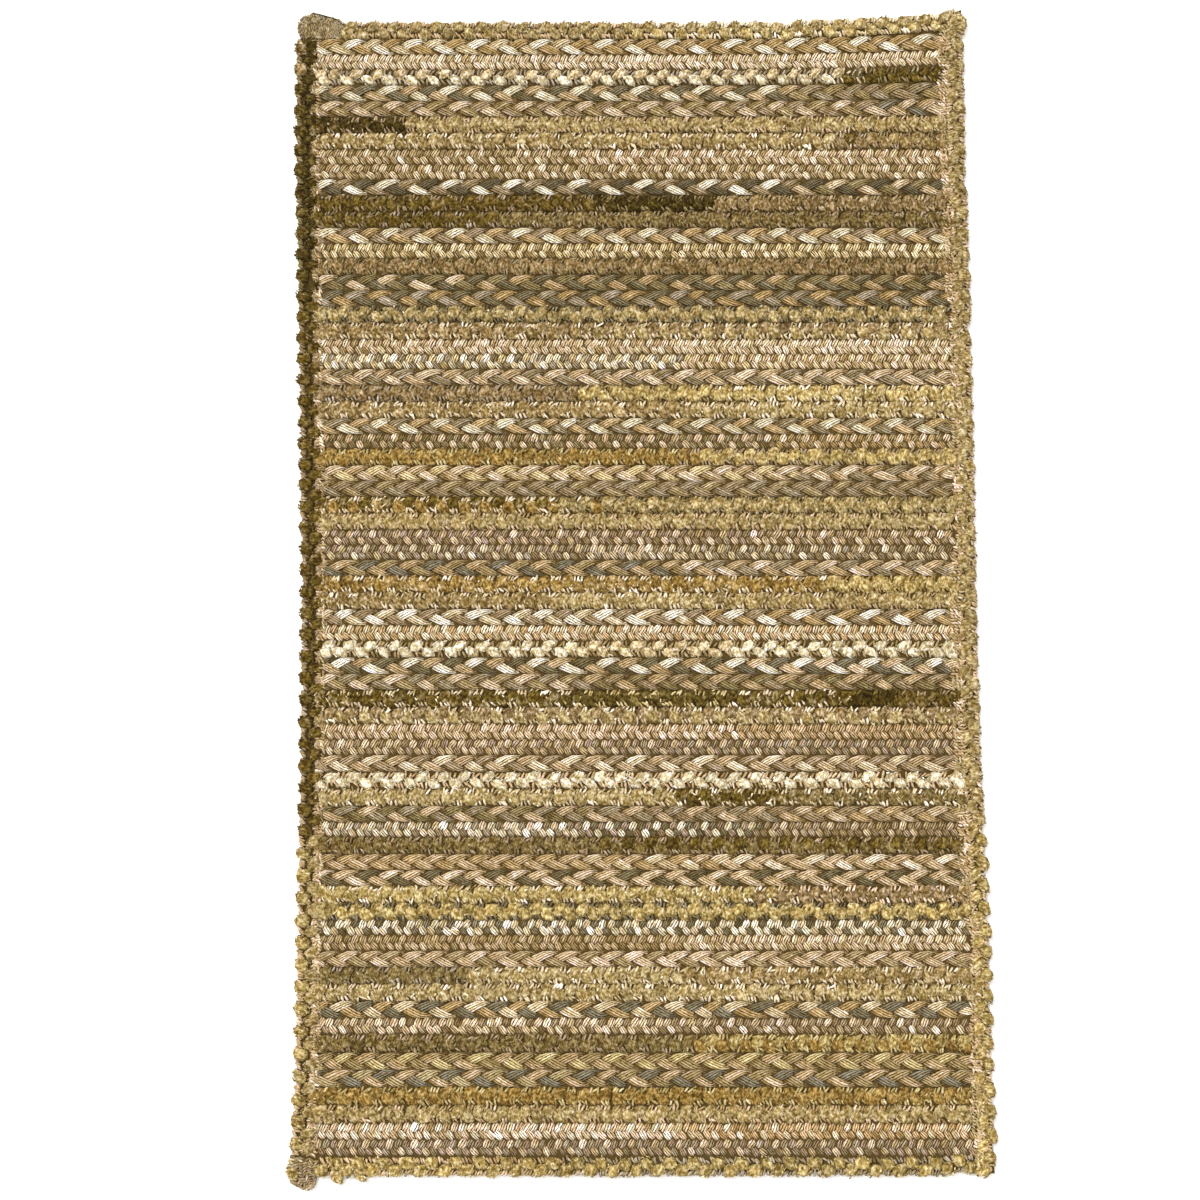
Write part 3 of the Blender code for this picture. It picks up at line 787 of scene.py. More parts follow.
@dataclass(frozen=True)
class Track:
    """The strip that one braid fills: its middle line and its half width along it."""

    line: Numbers
    reach: Numbers

    @property
    def stations(self) -> Numbers:
        """How far along the track each point of its line is."""
        steps = np.linalg.norm(np.diff(self.line, axis=0), axis=1)
        return np.concatenate([[0.0], np.cumsum(steps)])

    @property
    def length(self) -> float:
        """The track's length."""
        return float(self.stations[-1])

    def half_width(self, along: Numbers) -> Numbers:
        """Half the strip's width at some places along it."""
        return np.interp(along, self.stations, self.reach)

    def middle(self, along: Numbers) -> Numbers:
        """The middle line's points at some places along it."""
        return np.stack([np.interp(along, self.stations, self.line[:, i]) for i in (0, 1)], -1)

    def place(self, along: Numbers, across: Numbers, up: Numbers) -> Numbers:
        """Points of the rug from places on the strip.

        Args:
            along: How far along the strip.
            across: How far to the left of its middle line.
            up: How high above the floor.

        Returns:
            The points.
        """
        inside = along.clip(0.0, self.length)
        span = min(DIRECTION_SPAN, self.length / 4)
        ahead = self.middle((inside + span).clip(0.0, self.length))
        back = self.middle((inside - span).clip(0.0, self.length))
        way = ahead - back
        way = way / np.linalg.norm(way, axis=-1, keepdims=True)
        past = (along - inside)[..., None]
        left = np.stack([-way[..., 1], way[..., 0]], -1)
        flat = self.middle(inside) + way * past + left * across[..., None]
        return np.concatenate([flat, up[..., None]], -1)


def clusters(places: Numbers, gap: float) -> list[Numbers]:
    """Groups places wherever two neighbours are further apart than a gap.

    Args:
        places: The places, in any order.
        gap: The widest step within a group.

    Returns:
        The places' numbers, group by group, from the lowest place up.
    """
    order = np.argsort(places)
    cuts = np.flatnonzero(np.diff(places[order]) > gap) + 1
    return np.split(order, cuts)


# How far the rows' left ends are turned in over the border's inner edge.
TURNED_IN = 9.0


def row_tracks(node: bpy.types.Object, rows: int) -> list[Track]:
    """The strips of the rows that one solid stands for.

    Args:
        node: The solid.
        rows: How many rows it stands for.

    Returns:
        A track for each row, from the top down, each running to the right.
    """
    points = points_of(node.data) / MM
    tops, bottoms = [], []
    for found in clusters(points[:, 0], gap=20.0):
        found = points[found]
        tops.append(found[found[:, 1].argmax(), :2])
        bottoms.append(found[found[:, 1].argmin(), :2])
    top, bottom = np.array(tops), np.array(bottoms)
    top[0, 0] -= TURNED_IN
    bottom[0, 0] -= TURNED_IN
    tracks = []
    for index in range(rows):
        upper = top + (bottom - top) * (index / rows)
        lower = top + (bottom - top) * ((index + 1) / rows)
        tracks.append(Track((upper + lower) / 2, (upper - lower)[:, 1] / 2))
    return tracks


def measured(node: bpy.types.Object, heading: tuple[float, float]) -> tuple[Numbers, ...]:
    """Measures a solid's points along and across a heading.

    Args:
        node: The solid.
        heading: The way that a strip runs over it.

    Returns:
        The heading, the way to its left, how far along each point is and how far left.
    """
    points = points_of(node.data)[:, :2] / MM
    way = np.array(heading)
    left = np.array([-way[1], way[0]])
    return way, left, points @ way, points @ left


# Each point of a side's strip is the mean of this many of its places.
SMOOTHED_OVER = 7


def side_track(node: bpy.types.Object, heading: tuple[float, float]) -> Track:
    """The strip that one side of the border braid fills.

    Args:
        node: The side's solid.
        heading: The way that the strip runs, with the outside of the rug on its left.

    Returns:
        The track.
    """
    way, left, along, across = measured(node, heading)
    line, reach = [], []
    for found in clusters(along, gap=2.0):
        low, high = across[found].min(), across[found].max()
        line.append(way * along[found].mean() + left * (low + high) / 2)
        reach.append((high - low) / 2)
    line, reach = np.array(line), np.array(reach)
    window = np.ones(SMOOTHED_OVER) / SMOOTHED_OVER
    spare = SMOOTHED_OVER // 2
    padded = np.pad(reach, spare, mode="edge")
    middles = np.pad(line, ((spare, spare), (0, 0)), mode="edge")
    even = np.stack([np.convolve(middles[:, i], window, "valid") for i in (0, 1)], -1)
    even[[0, -1]] = line[[0, -1]]
    return Track(even, np.convolve(padded, window, "valid"))


# ----------------------------------------------------------------------- braids
# The lowest that a point of a strand may be, just above the floor.
LOWEST = 0.05
# The deepest shade within a form.
DEEPEST_SHADE = 0.02


def yarn_tints(stretches: tuple[Stretch, ...], across: Numbers, strand: Numbers) -> Numbers:
    """The colours of the yarns at some places of a row.

    Args:
        stretches: The row's stretches.
        across: The places, as distances from the rug's middle line.
        strand: Which of the row's yarns is wanted at each place.

    Returns:
        A colour for each place, as linear light.
    """
    limits = np.array([stretch.until for stretch in stretches[:-1]])
    which = np.searchsorted(limits, across)
    table = np.array([[yarn.tint for yarn in stretch.yarns] for stretch in stretches])
    return table[which, strand]


def browned(tints: Numbers, shade: Numbers) -> Numbers:
    """Yarn colours in some shade: browner where it is dark, paler where it is bright.

    Args:
        tints: The colours as linear light.
        shade: The shade at each of them.

    Returns:
        The shaded colours.
    """
    return tints * np.maximum(shade, DEEPEST_SHADE)[..., None] ** np.array(FORM_SHADE_POWERS)


def liveliness(tints: Numbers) -> Numbers:
    """How much the shade varies in yarns of some colours, least in the light ones."""
    return DARK_LIVELINESS - CALMING * tints.mean(axis=-1)


def fuller(places: Numbers, power: float) -> Numbers:
    """Moves a unit form's places outwards, further the lower the power is below 1."""
    return np.sign(places) * np.abs(places) ** power


def smooth_step(share: Numbers) -> Numbers:
    """Runs from 0 to 1 with soft ends."""
    share = np.clip(share, 0.0, 1.0)
    return share * share * (3 - 2 * share)


@dataclass(frozen=True)
class Plait:
    """A flat plait of three thick strands, each a bundle of yarns side by side.

    Attributes:
        period: The length in which a strand crosses over and comes back.
        swing: How far a strand's middle swings to each side.
        fold: How sharply it turns there, up to 1.
        lift: How far a strand rises and dips as it crosses another.
        swap: How slowly it changes its level.
        half_width: Half a strand's width.
        half_thickness: Half a strand's thickness.
        height: The plait's thickness.
        edge: How far in from the rims the strands are held back softly.
        sides: Points round a strand.
        yarns_across: The yarns that lie side by side in a strand.
        yarn_width: The width of one of them.
        steps_a_period: A strand's rings in each period.
        crowding: How much the rings crowd together at the folds.
        rim_shade: How much painted shade darkens a strand at its sides.
        deep_shade: How much painted shade darkens a strand where it lies under others.
        tuck: The length of the tucked-in ends.
        usual_reach: Half the plait's width where these sizes hold.
        changeover: How far early or late a strand's next yarn usually comes.
    """

    period: float = 86.5
    swing: float = 10.4
    fold: float = 0.97
    lift: float = 2.2
    swap: float = 0.4
    half_width: float = 6.3
    half_thickness: float = 2.4
    height: float = 9.5
    edge: float = 2.2
    sides: int = 10
    yarns_across: int = 4
    yarn_width: float = 3.0
    steps_a_period: int = 14
    crowding: float = 0.6
    rim_shade: float = 0.5
    deep_shade: float = 0.45
    tuck: float = 14.0
    usual_reach: float = 10.7
    changeover: float = 8.0

    def lay(self, layup: Layup, track: Track, stretches: tuple[Stretch, ...], seed: int) -> None:
        """Lays one row of plait.

        Args:
            layup: The piece that the row belongs to.
            track: The strip that it fills.
            stretches: Its yarns.
            seed: The row's own randomness.
        """
        rng = np.random.default_rng(seed)
        form = rod_form(self.sides, round(track.length / self.period * self.steps_a_period))
        even = form.points[:, 0] * track.length
        turn = np.arctan2(form.points[:, 2], form.points[:, 1])
        # The yarns lie evenly side by side over the strand, and again under it.
        yarn = (1 - np.cos(turn)) / 2 * self.yarns_across
        yarn = np.where(np.sin(turn) < -0.01, 2 * self.yarns_across - yarn, yarn)
        start = rng.uniform(0, 2 * np.pi)
        drift = wander(even, pitch=60.0, amount=0.22, rng=rng)
        free = smooth_step(np.minimum(even, track.length - even) / self.tuck)
        rows, tints, lays = [], [], []
        for strand in range(3):
            phase = 2 * np.pi * (even / self.period + strand / 3) + start + drift
            # The rod's rings crowd together at the folds.
            nearer = self.crowding / 2 * np.sin(2 * phase) * free
            along = even + nearer * self.period / (2 * np.pi)
            phase = phase + nearer
            rows.append(self.strand(track, along, phase, turn, free, rng))
            own = yarn_tints(
                stretches, track.middle(along)[:, 0] + rng.normal(0, self.changeover),
                np.full(len(along), strand),
            )
            # Painted shade: a strand is darker at its sides and where it lies under the others. The
            # slub is the yarn's own uneven tone.
            slub = 1 + wander(along + 400.0 * strand, pitch=24.0, amount=0.06, rng=rng)
            rim = 1 - self.rim_shade * np.abs(np.cos(turn)) ** 8
            under = smooth_step(0.3 - 0.9 * self.level(phase))
            tints.append(browned(own, slub * rim * (1 - self.deep_shade * under)))
            number = np.full(len(along), 3.0 * seed + strand)
            lays.append(np.stack([along / self.yarn_width, yarn, number], -1))
        layup.add(form, np.array(rows), np.array(tints), np.array(lays), SPUN)

    def level(self, phase: Numbers) -> Numbers:
        """How high in the plait a strand is, from -1 to 1: it swaps in the middle and at folds."""
        wave = np.sin(2 * phase)
        return wave / np.sqrt(wave**2 + self.swap**2)

    def strand(
        self, track: Track, along: Numbers, phase: Numbers, turn: Numbers, free: Numbers,
        rng: np.random.Generator,
    ) -> Numbers:
        """The points of one strand, which runs slantwise and folds at the row's edges.

        Args:
            track: The strip that the plait fills.
            along: How far along the strip each point is.
            phase: How far through the plait's repeat each point is.
            turn: Where round the strand each point is.
            free: How far each point is out of the tucked-in ends, from 0 to 1.
            rng: The source of its randomness.

        Returns:
            The points.
        """
        limit = track.half_width(along)
        size = limit / self.usual_reach
        sway = 1 + wander(along, pitch=35.0, amount=0.04, rng=rng)
        swing = self.swing * size * (0.35 + 0.65 * free) * sway
        full = math.asin(self.fold)
        middle = swing * np.arcsin(self.fold * np.sin(phase)) / full
        bow = np.sqrt(1 - (self.fold * np.sin(phase)) ** 2)
        slope = swing / full * self.fold * np.cos(phase) / bow * 2 * np.pi / self.period
        lean = np.hypot(1.0, slope)
        swell = 1 + wander(along, pitch=25.0, amount=0.05, rng=rng)
        width = size * self.half_width * (0.75 + 0.25 * free) * swell
        out = np.cos(turn) * width
        across = middle + out / lean
        inner = limit - self.edge
        past = (np.abs(across) - inner).clip(0.0, None)
        held = np.minimum(np.abs(across), inner) + self.edge * np.tanh(past / self.edge)
        round_off = np.sqrt(1 - 0.55 * (held / limit) ** 4)
        high = self.lift * free * self.level(phase) + np.sin(turn) * self.half_thickness
        up = self.height / 2 + high * round_off
        return track.place(
            along - out * slope / lean, np.sign(across) * held, up.clip(LOWEST, self.height + 0.6)
        )


@dataclass(frozen=True)
class LoopLine:
    """One line of slanted loops along a fine braid.

    Attributes:
        offset: From the braid's middle to the line's.
        lean: The loops' angle to the braid.
        shift: How far on the line starts, as a share of the pitch.
    """

    offset: float
    lean: float
    shift: float


@dataclass(frozen=True)
class FineBraid:
    """A flat braid of thin yarn: two lines of plump loops, each of three yarns in turn.

    Attributes:
        pitch: From one loop of a line to the next.
        half_length: Half a loop's length.
        fill: Half a loop's width, as a share of the room that its line gives it.
        half_thickness: Half a loop's thickness.
        height: The braid's thickness.
        plies: The plies that show side by side on a loop.
        usual_reach: Half the braid's width where these sizes hold.
        changeover: How far early or late the next yarn usually comes.
        lines: The two lines.
    """

    pitch: float = 10.4
    half_length: float = 6.9
    fill: float = 0.53
    half_thickness: float = 4.0
    height: float = 8.0
    plies: int = 3
    usual_reach: float = 10.25
    changeover: float = 12.0
    lines: tuple[LoopLine, ...] = (
        LoopLine(4.7, math.radians(64), 0.0),
        LoopLine(-4.7, math.radians(-52), 0.5),
    )

    def lay(self, layup: Layup, track: Track, stretches: tuple[Stretch, ...], seed: int) -> None:
        """Lays one row of fine braid.

        Args:
            layup: The piece that the row belongs to.
            track: The strip that it fills.
            stretches: Its yarns.
            seed: The row's own randomness.
        """
        rng = np.random.default_rng(seed)
        size = float(track.reach.mean()) / self.usual_reach
        count = round(track.length / self.pitch)
        for line in self.lines:
            numbers = np.arange(count)
            along = (numbers + 0.25 + line.shift) * (track.length / (count + 0.25))
            strand = (numbers + seed + 2 * (line.offset < 0)) % 3
            early = rng.normal(0, self.changeover, count)
            own = yarn_tints(stretches, track.middle(along)[:, 0] + early, strand)
            # A light yarn's loops bulge most.
            bulge = 0.88 + 0.28 * own.mean(axis=1)
            Stitches(
                along + rng.normal(0, 0.5, count),
                size * line.offset + rng.normal(0, 0.35, count),
                np.full(count, self.height / 2),
                line.lean + rng.normal(0, 0.09, count),
                size * self.half_length * bulge * rng.normal(1.0, 0.05, count),
                self.fill * self.pitch * abs(math.sin(line.lean)) * bulge
                * rng.normal(1.0, 0.05, count),
                self.half_thickness * bulge * rng.normal(1.0, 0.04, count),
                self.plies,
            ).lay(layup, track, browned(own, rng.normal(1.0, 0.12, count)))


@dataclass(frozen=True)
class Stitches:
    """Stitches or loops of fine yarn on a braid, each a plump grain of a few plies.

    Attributes:
        along: How far along the strip the middle of each is.
        across: How far to the left of the strip's middle.
        up: How high above the floor.
        lean: The angle of each to the strip.
        half_length: Half the length of each.
        half_width: Half the width of each.
        half_thickness: Half the thickness of each.
        plies: The plies that show side by side on each.
        fullness: How full a grain's ends and sides are, from 1 for a ball down.
        rim_shade: How much painted shade darkens a grain at its ends.
    """

    along: Numbers
    across: Numbers
    up: Numbers
    lean: Numbers
    half_length: Numbers
    half_width: Numbers
    half_thickness: Numbers
    plies: int = 1
    fullness: float = 0.8
    rim_shade: float = 0.45

    def lay(self, layup: Layup, track: Track, own: Numbers) -> None:
        """Lays the stitches.

        Args:
            layup: The piece that they belong to.
            track: The strip that they lie on.
            own: Each stitch's colour as linear light.
        """
        form = stitch_form() if self.plies == 1 else loop_form()
        x, y, z = (form.points[None, :, i] for i in range(3))
        long = fuller(x, self.fullness) * self.half_length[:, None]
        wide = fuller(y, self.fullness) * self.half_width[:, None]
        cos, sin = np.cos(self.lean)[:, None], np.sin(self.lean)[:, None]
        along = self.along[:, None] + long * cos - wide * sin
        across = self.across[:, None] + long * sin + wide * cos
        up = self.up[:, None] + z * self.half_thickness[:, None]
        # Painted shade: a grain is darker towards its ends.
        rim = 1 - self.rim_shade * x**4
        number = self.along[:, None] + 0 * x
        ply = (0.5 + 0.5 * fuller(y, self.fullness)) * self.plies
        lays = np.stack([2.0 * x + 0 * number, ply + 0 * number, number], -1)
        points = track.place(along, across, up.clip(LOWEST, None))
        layup.add(form, points, browned(own[:, None, :], rim), lays, SPUN)


@dataclass(frozen=True)
class Chenille:
    """A fuzzy braid: two lines of soft lumps that close like a zip, with fine stitches.

    The lumps are squarish. The stitches fill the notches outside the chain of lumps.

    Attributes:
        pitch: From one lump of a line to the next.
        half_length: Half a lump's size along the braid.
        half_width: Half a lump's size across it.
        half_thickness: Half a lump's size upwards.
        offset: From the braid's middle to the middle of each line of lumps.
        height: The braid's thickness.
        between: How many stitches lie in a notch.
        stitch_lean: The stitches' angle to the braid.
        stitch_half: Half a stitch's length.
        lean: How far a lump slants along the braid for each step across it.
        pale: The share of a lump's tufts that are of the stitches' yarn.
        tufts: How many tufts a lump has.
        tuft_length: A tuft's length.
        tuft_radius: A tuft's radius at its foot.
        inset: How far the stitches are drawn in towards the braid's middle.
        knobbly_from: From how far along the strip the left line's lumps stand out.
        knob_reach: How far they stand out.
        knob_inset: How much further the stitches beside them are drawn in.
        stitch_half_width: Half a stitch's width.
        stitch_half_thickness: Half a stitch's thickness.
        fullness: How squarish a lump is, from 1 for a ball down.
        end_gap: How near the middle of a lump may come to the strip's ends.
        free_from: From what length a strip along X starts anywhere in its repeat.
        changeover: How far early or late the next yarn usually comes.
    """

    pitch: float = 29.5
    half_length: float = 9.6
    half_width: float = 9.7
    half_thickness: float = 4.7
    offset: float = 2.6
    height: float = 10.5
    between: int = 3
    stitch_lean: float = math.radians(62)
    stitch_half: float = 5.6
    lean: float = 0.32
    pale: float = 0.2
    tufts: int = 26
    tuft_length: float = 6.0
    tuft_radius: float = 1.25
    inset: float = 0.0
    knobbly_from: float = math.inf
    knob_reach: float = 1.4
    knob_inset: float = 2.6
    stitch_half_width: float = 2.3
    stitch_half_thickness: float = 4.0
    fullness: float = 0.72
    end_gap: float = 3.0
    free_from: float = 820.0
    changeover: float = 16.0

    def lay(
        self, layup: Layup, track: Track, stretches: tuple[Stretch, ...], seed: int,
        axis: int = 0,
    ) -> None:
        """Lays one strip of chenille braid.

        Args:
            layup: The piece that the strip belongs to.
            track: The strip that it fills.
            stretches: Its yarns.
            seed: The strip's own randomness.
            axis: The axis that its stretches are counted on.
        """
        rng = np.random.default_rng(seed)
        count = round(track.length / self.pitch)
        pitch = track.length / count
        start = rng.uniform(0.0, 1.0) if axis == 0 and track.length > self.free_from else 0.5
        for side in (1, -1):
            shift = start + (0.0 if side > 0 else 0.5)
            along = ((np.arange(count + 1) + shift) % (count + 1)) * pitch
            along = np.sort(along[(along > self.end_gap) & (along < track.length - self.end_gap)])
            # A line that ends too far from the strip's end gets one more lump there.
            if along[0] > 0.75 * pitch:
                along = np.concatenate([along[:1] - 0.62 * pitch, along])
            if track.length - along[-1] > 0.75 * pitch:
                along = np.concatenate([along, along[-1:] + 0.62 * pitch])
            self.lumps(layup, track, stretches, along, side, axis, rng)
            self.flecks(layup, track, stretches, along, pitch, side, axis, rng)

    def lumps(
        self, layup: Layup, track: Track, stretches: tuple[Stretch, ...], along: Numbers,
        side: int, axis: int, rng: np.random.Generator,
    ) -> None:
        """Lays the soft lumps of one line, with their pile.

        Args:
            layup: The piece that the strip belongs to.
            track: The strip that the braid fills.
            stretches: Its yarns.
            along: How far along the strip each lump is.
            side: 1 for the line on the left of the strip's middle, and -1 for the other.
            axis: The axis that the stretches are counted on.
            rng: The source of the strip's randomness.
        """
        form = lump_form()
        count = len(along)
        x, y, z = (form.points[None, :, i] for i in range(3))
        rough = 1 + rng.normal(0, 0.10, (count, len(form.points)))
        knob = 1.0 * (along > self.knobbly_from)[:, None] * (side > 0)
        wide = fuller(y, self.fullness) * self.half_width * rough
        long = fuller(x, self.fullness) * self.half_length * (1 - 0.12 * knob) * rough
        long = long * rng.normal(1.0, 0.06, (count, 1))
        high = fuller(z, self.fullness) * self.half_thickness * (1 + 0.6 * (rough - 1))
        moved = along[:, None] + long + side * self.lean * wide + rng.normal(0, 0.8, (count, 1))
        across = side * self.offset + self.knob_reach * knob + wide + rng.normal(0, 0.4, (count, 1))
        up = (self.height / 2 + high).clip(LOWEST, self.height + 0.8)
        # Where the yarn changes, a lump of the next one comes early here and there.
        places = track.middle(along)[:, axis] + rng.normal(0, self.changeover, count)
        below = 2 if side < 0 and len(stretches[0].yarns) > 2 else 0
        own = yarn_tints(stretches, places, np.full(count, below))[:, None, :]
        other = yarn_tints(stretches, places, np.ones(count, int))[:, None, :]
        calm = liveliness(own)
        speck = 0.45 * calm[..., None] * (rng.random((count, len(form.points), 1)) > 0.85)
        tints = (own * (1 - speck) + other * speck) * rng.normal(1.0, 0.09, (count, 1, 1))
        # Painted shade: a lump is darker towards its sides, round its middle height. Its yarn is also
        # dimmed more the darker it is, and the random part is the pile's own mottle.
        shade = 0.74 + 0.24 * own.mean(axis=2) - 0.24 * np.clip(1 - np.abs(z), 0, 1) ** 3
        shade = shade * (1 + 0.16 * calm * rng.normal(0.0, 1.0, (count, len(form.points))))
        lays = np.broadcast_to(form.points, (count, *form.points.shape))
        layup.add(form, track.place(moved, across, up), browned(tints, shade), lays, PILE)
        self.pile(layup, track, along, side, own[:, 0], other[:, 0], rng)

    def pile(
        self, layup: Layup, track: Track, along: Numbers, side: int, own: Numbers,
        other: Numbers, rng: np.random.Generator,
    ) -> None:
        """Lays the tufts of pile all over the lumps of one line, most of them across the braid.

        Args:
            layup: The piece that the strip belongs to.
            track: The strip that the braid fills.
            along: How far along the strip each lump is.
            side: 1 for the line on the left of the strip's middle, and -1 for the other.
            own: Each lump's colour.
            other: The colour of the stitches beside each lump.
            rng: The source of the strip's randomness.
        """
        form = tuft_form()
        count = len(along) * self.tufts
        lump = np.repeat(np.arange(len(along)), self.tufts)
        way = rng.normal(0, 1, (count, 3))
        way = way / np.linalg.norm(way, axis=1, keepdims=True)
        size = np.array([self.half_length, self.half_width, self.half_thickness])
        spot = 0.94 * fuller(way, self.fullness) * size
        lean = np.array([0.35 * side, 1.0, 0.0]) * rng.choice((-1, 1), (count, 1))
        lean = lean + rng.normal(0, 0.35, (count, 3)) * (1.0, 1.0, 0.3)
        lean = lean - 0.8 * way * (lean * way).sum(axis=1, keepdims=True)
        lean = lean / np.linalg.norm(lean, axis=1, keepdims=True)
        first = np.cross(lean, way)
        first = first / np.linalg.norm(first, axis=1, keepdims=True)
        second = np.cross(lean, first)
        x, y, z = (form.points[None, :, i, None] for i in range(3))
        radius = self.tuft_radius * rng.normal(1.0, 0.15, (count, 1, 1))
        length = self.tuft_length * rng.normal(1.0, 0.15, (count, 1, 1))
        spots = spot[:, None] + (first[:, None] * x + second[:, None] * y) * radius
        spots = spots + lean[:, None] * (z - 0.5) * length
        wide = spots[..., 1]
        moved = along[lump][:, None] + spots[..., 0] + side * self.lean * wide
        up = (self.height / 2 + spots[..., 2]).clip(LOWEST, self.height + 0.9)
        pale = rng.random((count, 1)) < self.pale
        tints = np.where(pale, 1.2 * other[lump], own[lump])
        tints = browned(tints, 0.9 + liveliness(tints) * rng.uniform(-0.5, 0.5, count))
        lays = np.broadcast_to(way[:, None], (count, len(form.points), 3))
        layup.add(
            form, track.place(moved, side * self.offset + wide, up), tints[:, None], lays, PILE
        )

    def flecks(
        self, layup: Layup, track: Track, stretches: tuple[Stretch, ...], along: Numbers,
        pitch: float, side: int, axis: int, rng: np.random.Generator,
    ) -> None:
        """Lays the fine stitches between the lumps of one line.

        Args:
            layup: The piece that the strip belongs to.
            track: The strip that the braid fills.
            stretches: Its yarns.
            along: How far along the strip each lump is.
            pitch: From one lump to the next.
            side: 1 for the line on the left of the strip's middle, and -1 for the other.
            axis: The axis that the stretches are counted on.
            rng: The source of the strip's randomness.
        """
        span = pitch - 2 * self.half_length + 4.0
        steps = (np.arange(self.between) + 0.5) / self.between - 0.5
        gaps = np.concatenate([along[:1] - pitch / 2, along + pitch / 2])
        places = (gaps[:, None] + steps * span).ravel()
        places = places[(places > 2.0) & (places < track.length - 2.0)]
        count = len(places)
        early = rng.normal(0, self.changeover, count)
        own = yarn_tints(stretches, track.middle(places)[:, axis] + early, np.ones(count, int))
        inset = side * self.inset + self.knob_inset * (places > self.knobbly_from) * (side > 0)
        # The stitches in one gap are of one shade.
        notch = (places // pitch).astype(int)
        together = rng.uniform(0.75, 1.15, notch.max() + 1)[notch]
        Stitches(
            places + rng.normal(0, 0.8, count),
            side * (self.offset + self.half_width - self.stitch_half) - inset
            + rng.normal(0, 0.8, count),
            np.full(count, self.height / 2 + 0.2),
            side * self.stitch_lean + rng.normal(0, 0.28, count),
            self.stitch_half * rng.normal(1.0, 0.08, count),
            self.stitch_half_width * rng.normal(1.0, 0.12, count),
            self.stitch_half_thickness * rng.normal(1.0, 0.06, count),
        ).lay(layup, track, browned(own, together * rng.uniform(0.85, 1.2, count)))


class Kind(Enum):
    """The kinds of braid, by the word that ends a solid's name."""

    PLAIT = "plait"
    FINE = "fine"
    CHENILLE = "chenille"


@dataclass(frozen=True)
class Field:
    """The 69 rows of braid inside the border.

    Attributes:
        plait: The plaited rows' braid.
        fine: The fine rows' braid.
        chenille: The chenille rows' braid.
        lumpy: The braid of the chenille rows that hold white yarn.
    """

    plait: Plait = field(default_factory=Plait)
    fine: FineBraid = field(default_factory=FineBraid)
    chenille: Chenille = field(default_factory=Chenille)
    lumpy: Chenille = field(
        default_factory=lambda: Chenille(
            half_length=8.2, half_width=7.4, offset=4.0, lean=0.45, pale=0.04
        )
    )

    def build(self, nodes: dict[str, bpy.types.Object]) -> dict[str, bpy.types.Object]:
        """Makes a piece for each of the field's solids.

        Args:
            nodes: The frame's solids by name.

        Returns:
            The pieces by the names of the solids that they replace.
        """
        makers = {Kind.PLAIT: self.plait, Kind.FINE: self.fine, Kind.CHENILLE: self.chenille}
        pieces = {}
        for name in sorted(node for node in nodes if node.startswith("row")):
            _, *numbers, kind = name.split("_")
            first, last = int(numbers[0]), int(numbers[-1])
            layup = Layup(name.replace("row", "braid", 1))
            tracks = row_tracks(nodes[name], last - first + 1)
            for number, track in zip(range(first, last + 1), tracks):
                stretches, maker = YARN_CHART[number - 1], makers[Kind(kind)]
                if maker is self.chenille and Y.WHITE in stretches[0].yarns:
                    maker = self.lumpy
                maker.lay(layup, track, stretches, seed=number)
            pieces[name] = layup.piece()
        return pieces


# ----------------------------------------------------------------------- border
def border_braid(**sizes: float) -> Chenille:
    """The border's chenille braid, thicker and fuller than the field's.

    Args:
        sizes: One side's own sizes, by the names of the braid's fields.

    Returns:
        The braid.
    """
    return Chenille(
        half_thickness=4.9, height=11.0, stitch_lean=math.radians(60), tufts=40, **sizes
    )


@dataclass(frozen=True)
class BorderSide:
    """One side of the chenille braid round the rug.

    Attributes:
        node: The side's solid.
        heading: The way that it runs, with the outside of the rug on its left.
        stretches: Its yarns, each up to a place on X or Y.
        braid: Its braid.
        seam: The yarns of the stitches beside it, where the rows' ends turn in.
        seam_lines: How far outwards from its inner edge each line of them lies.
    """

    node: str
    heading: tuple[float, float]
    stretches: tuple[Stretch, ...]
    braid: Chenille
    seam: tuple[Yarn, ...] = ()
    seam_lines: tuple[float, ...] = ()

    @property
    def axis(self) -> int:
        """The axis that the side runs along."""
        return 0 if self.heading[0] else 1


# Where the yarn of the left and right sides changes, up from the rug's middle.
SIDES_TURN = -322.0


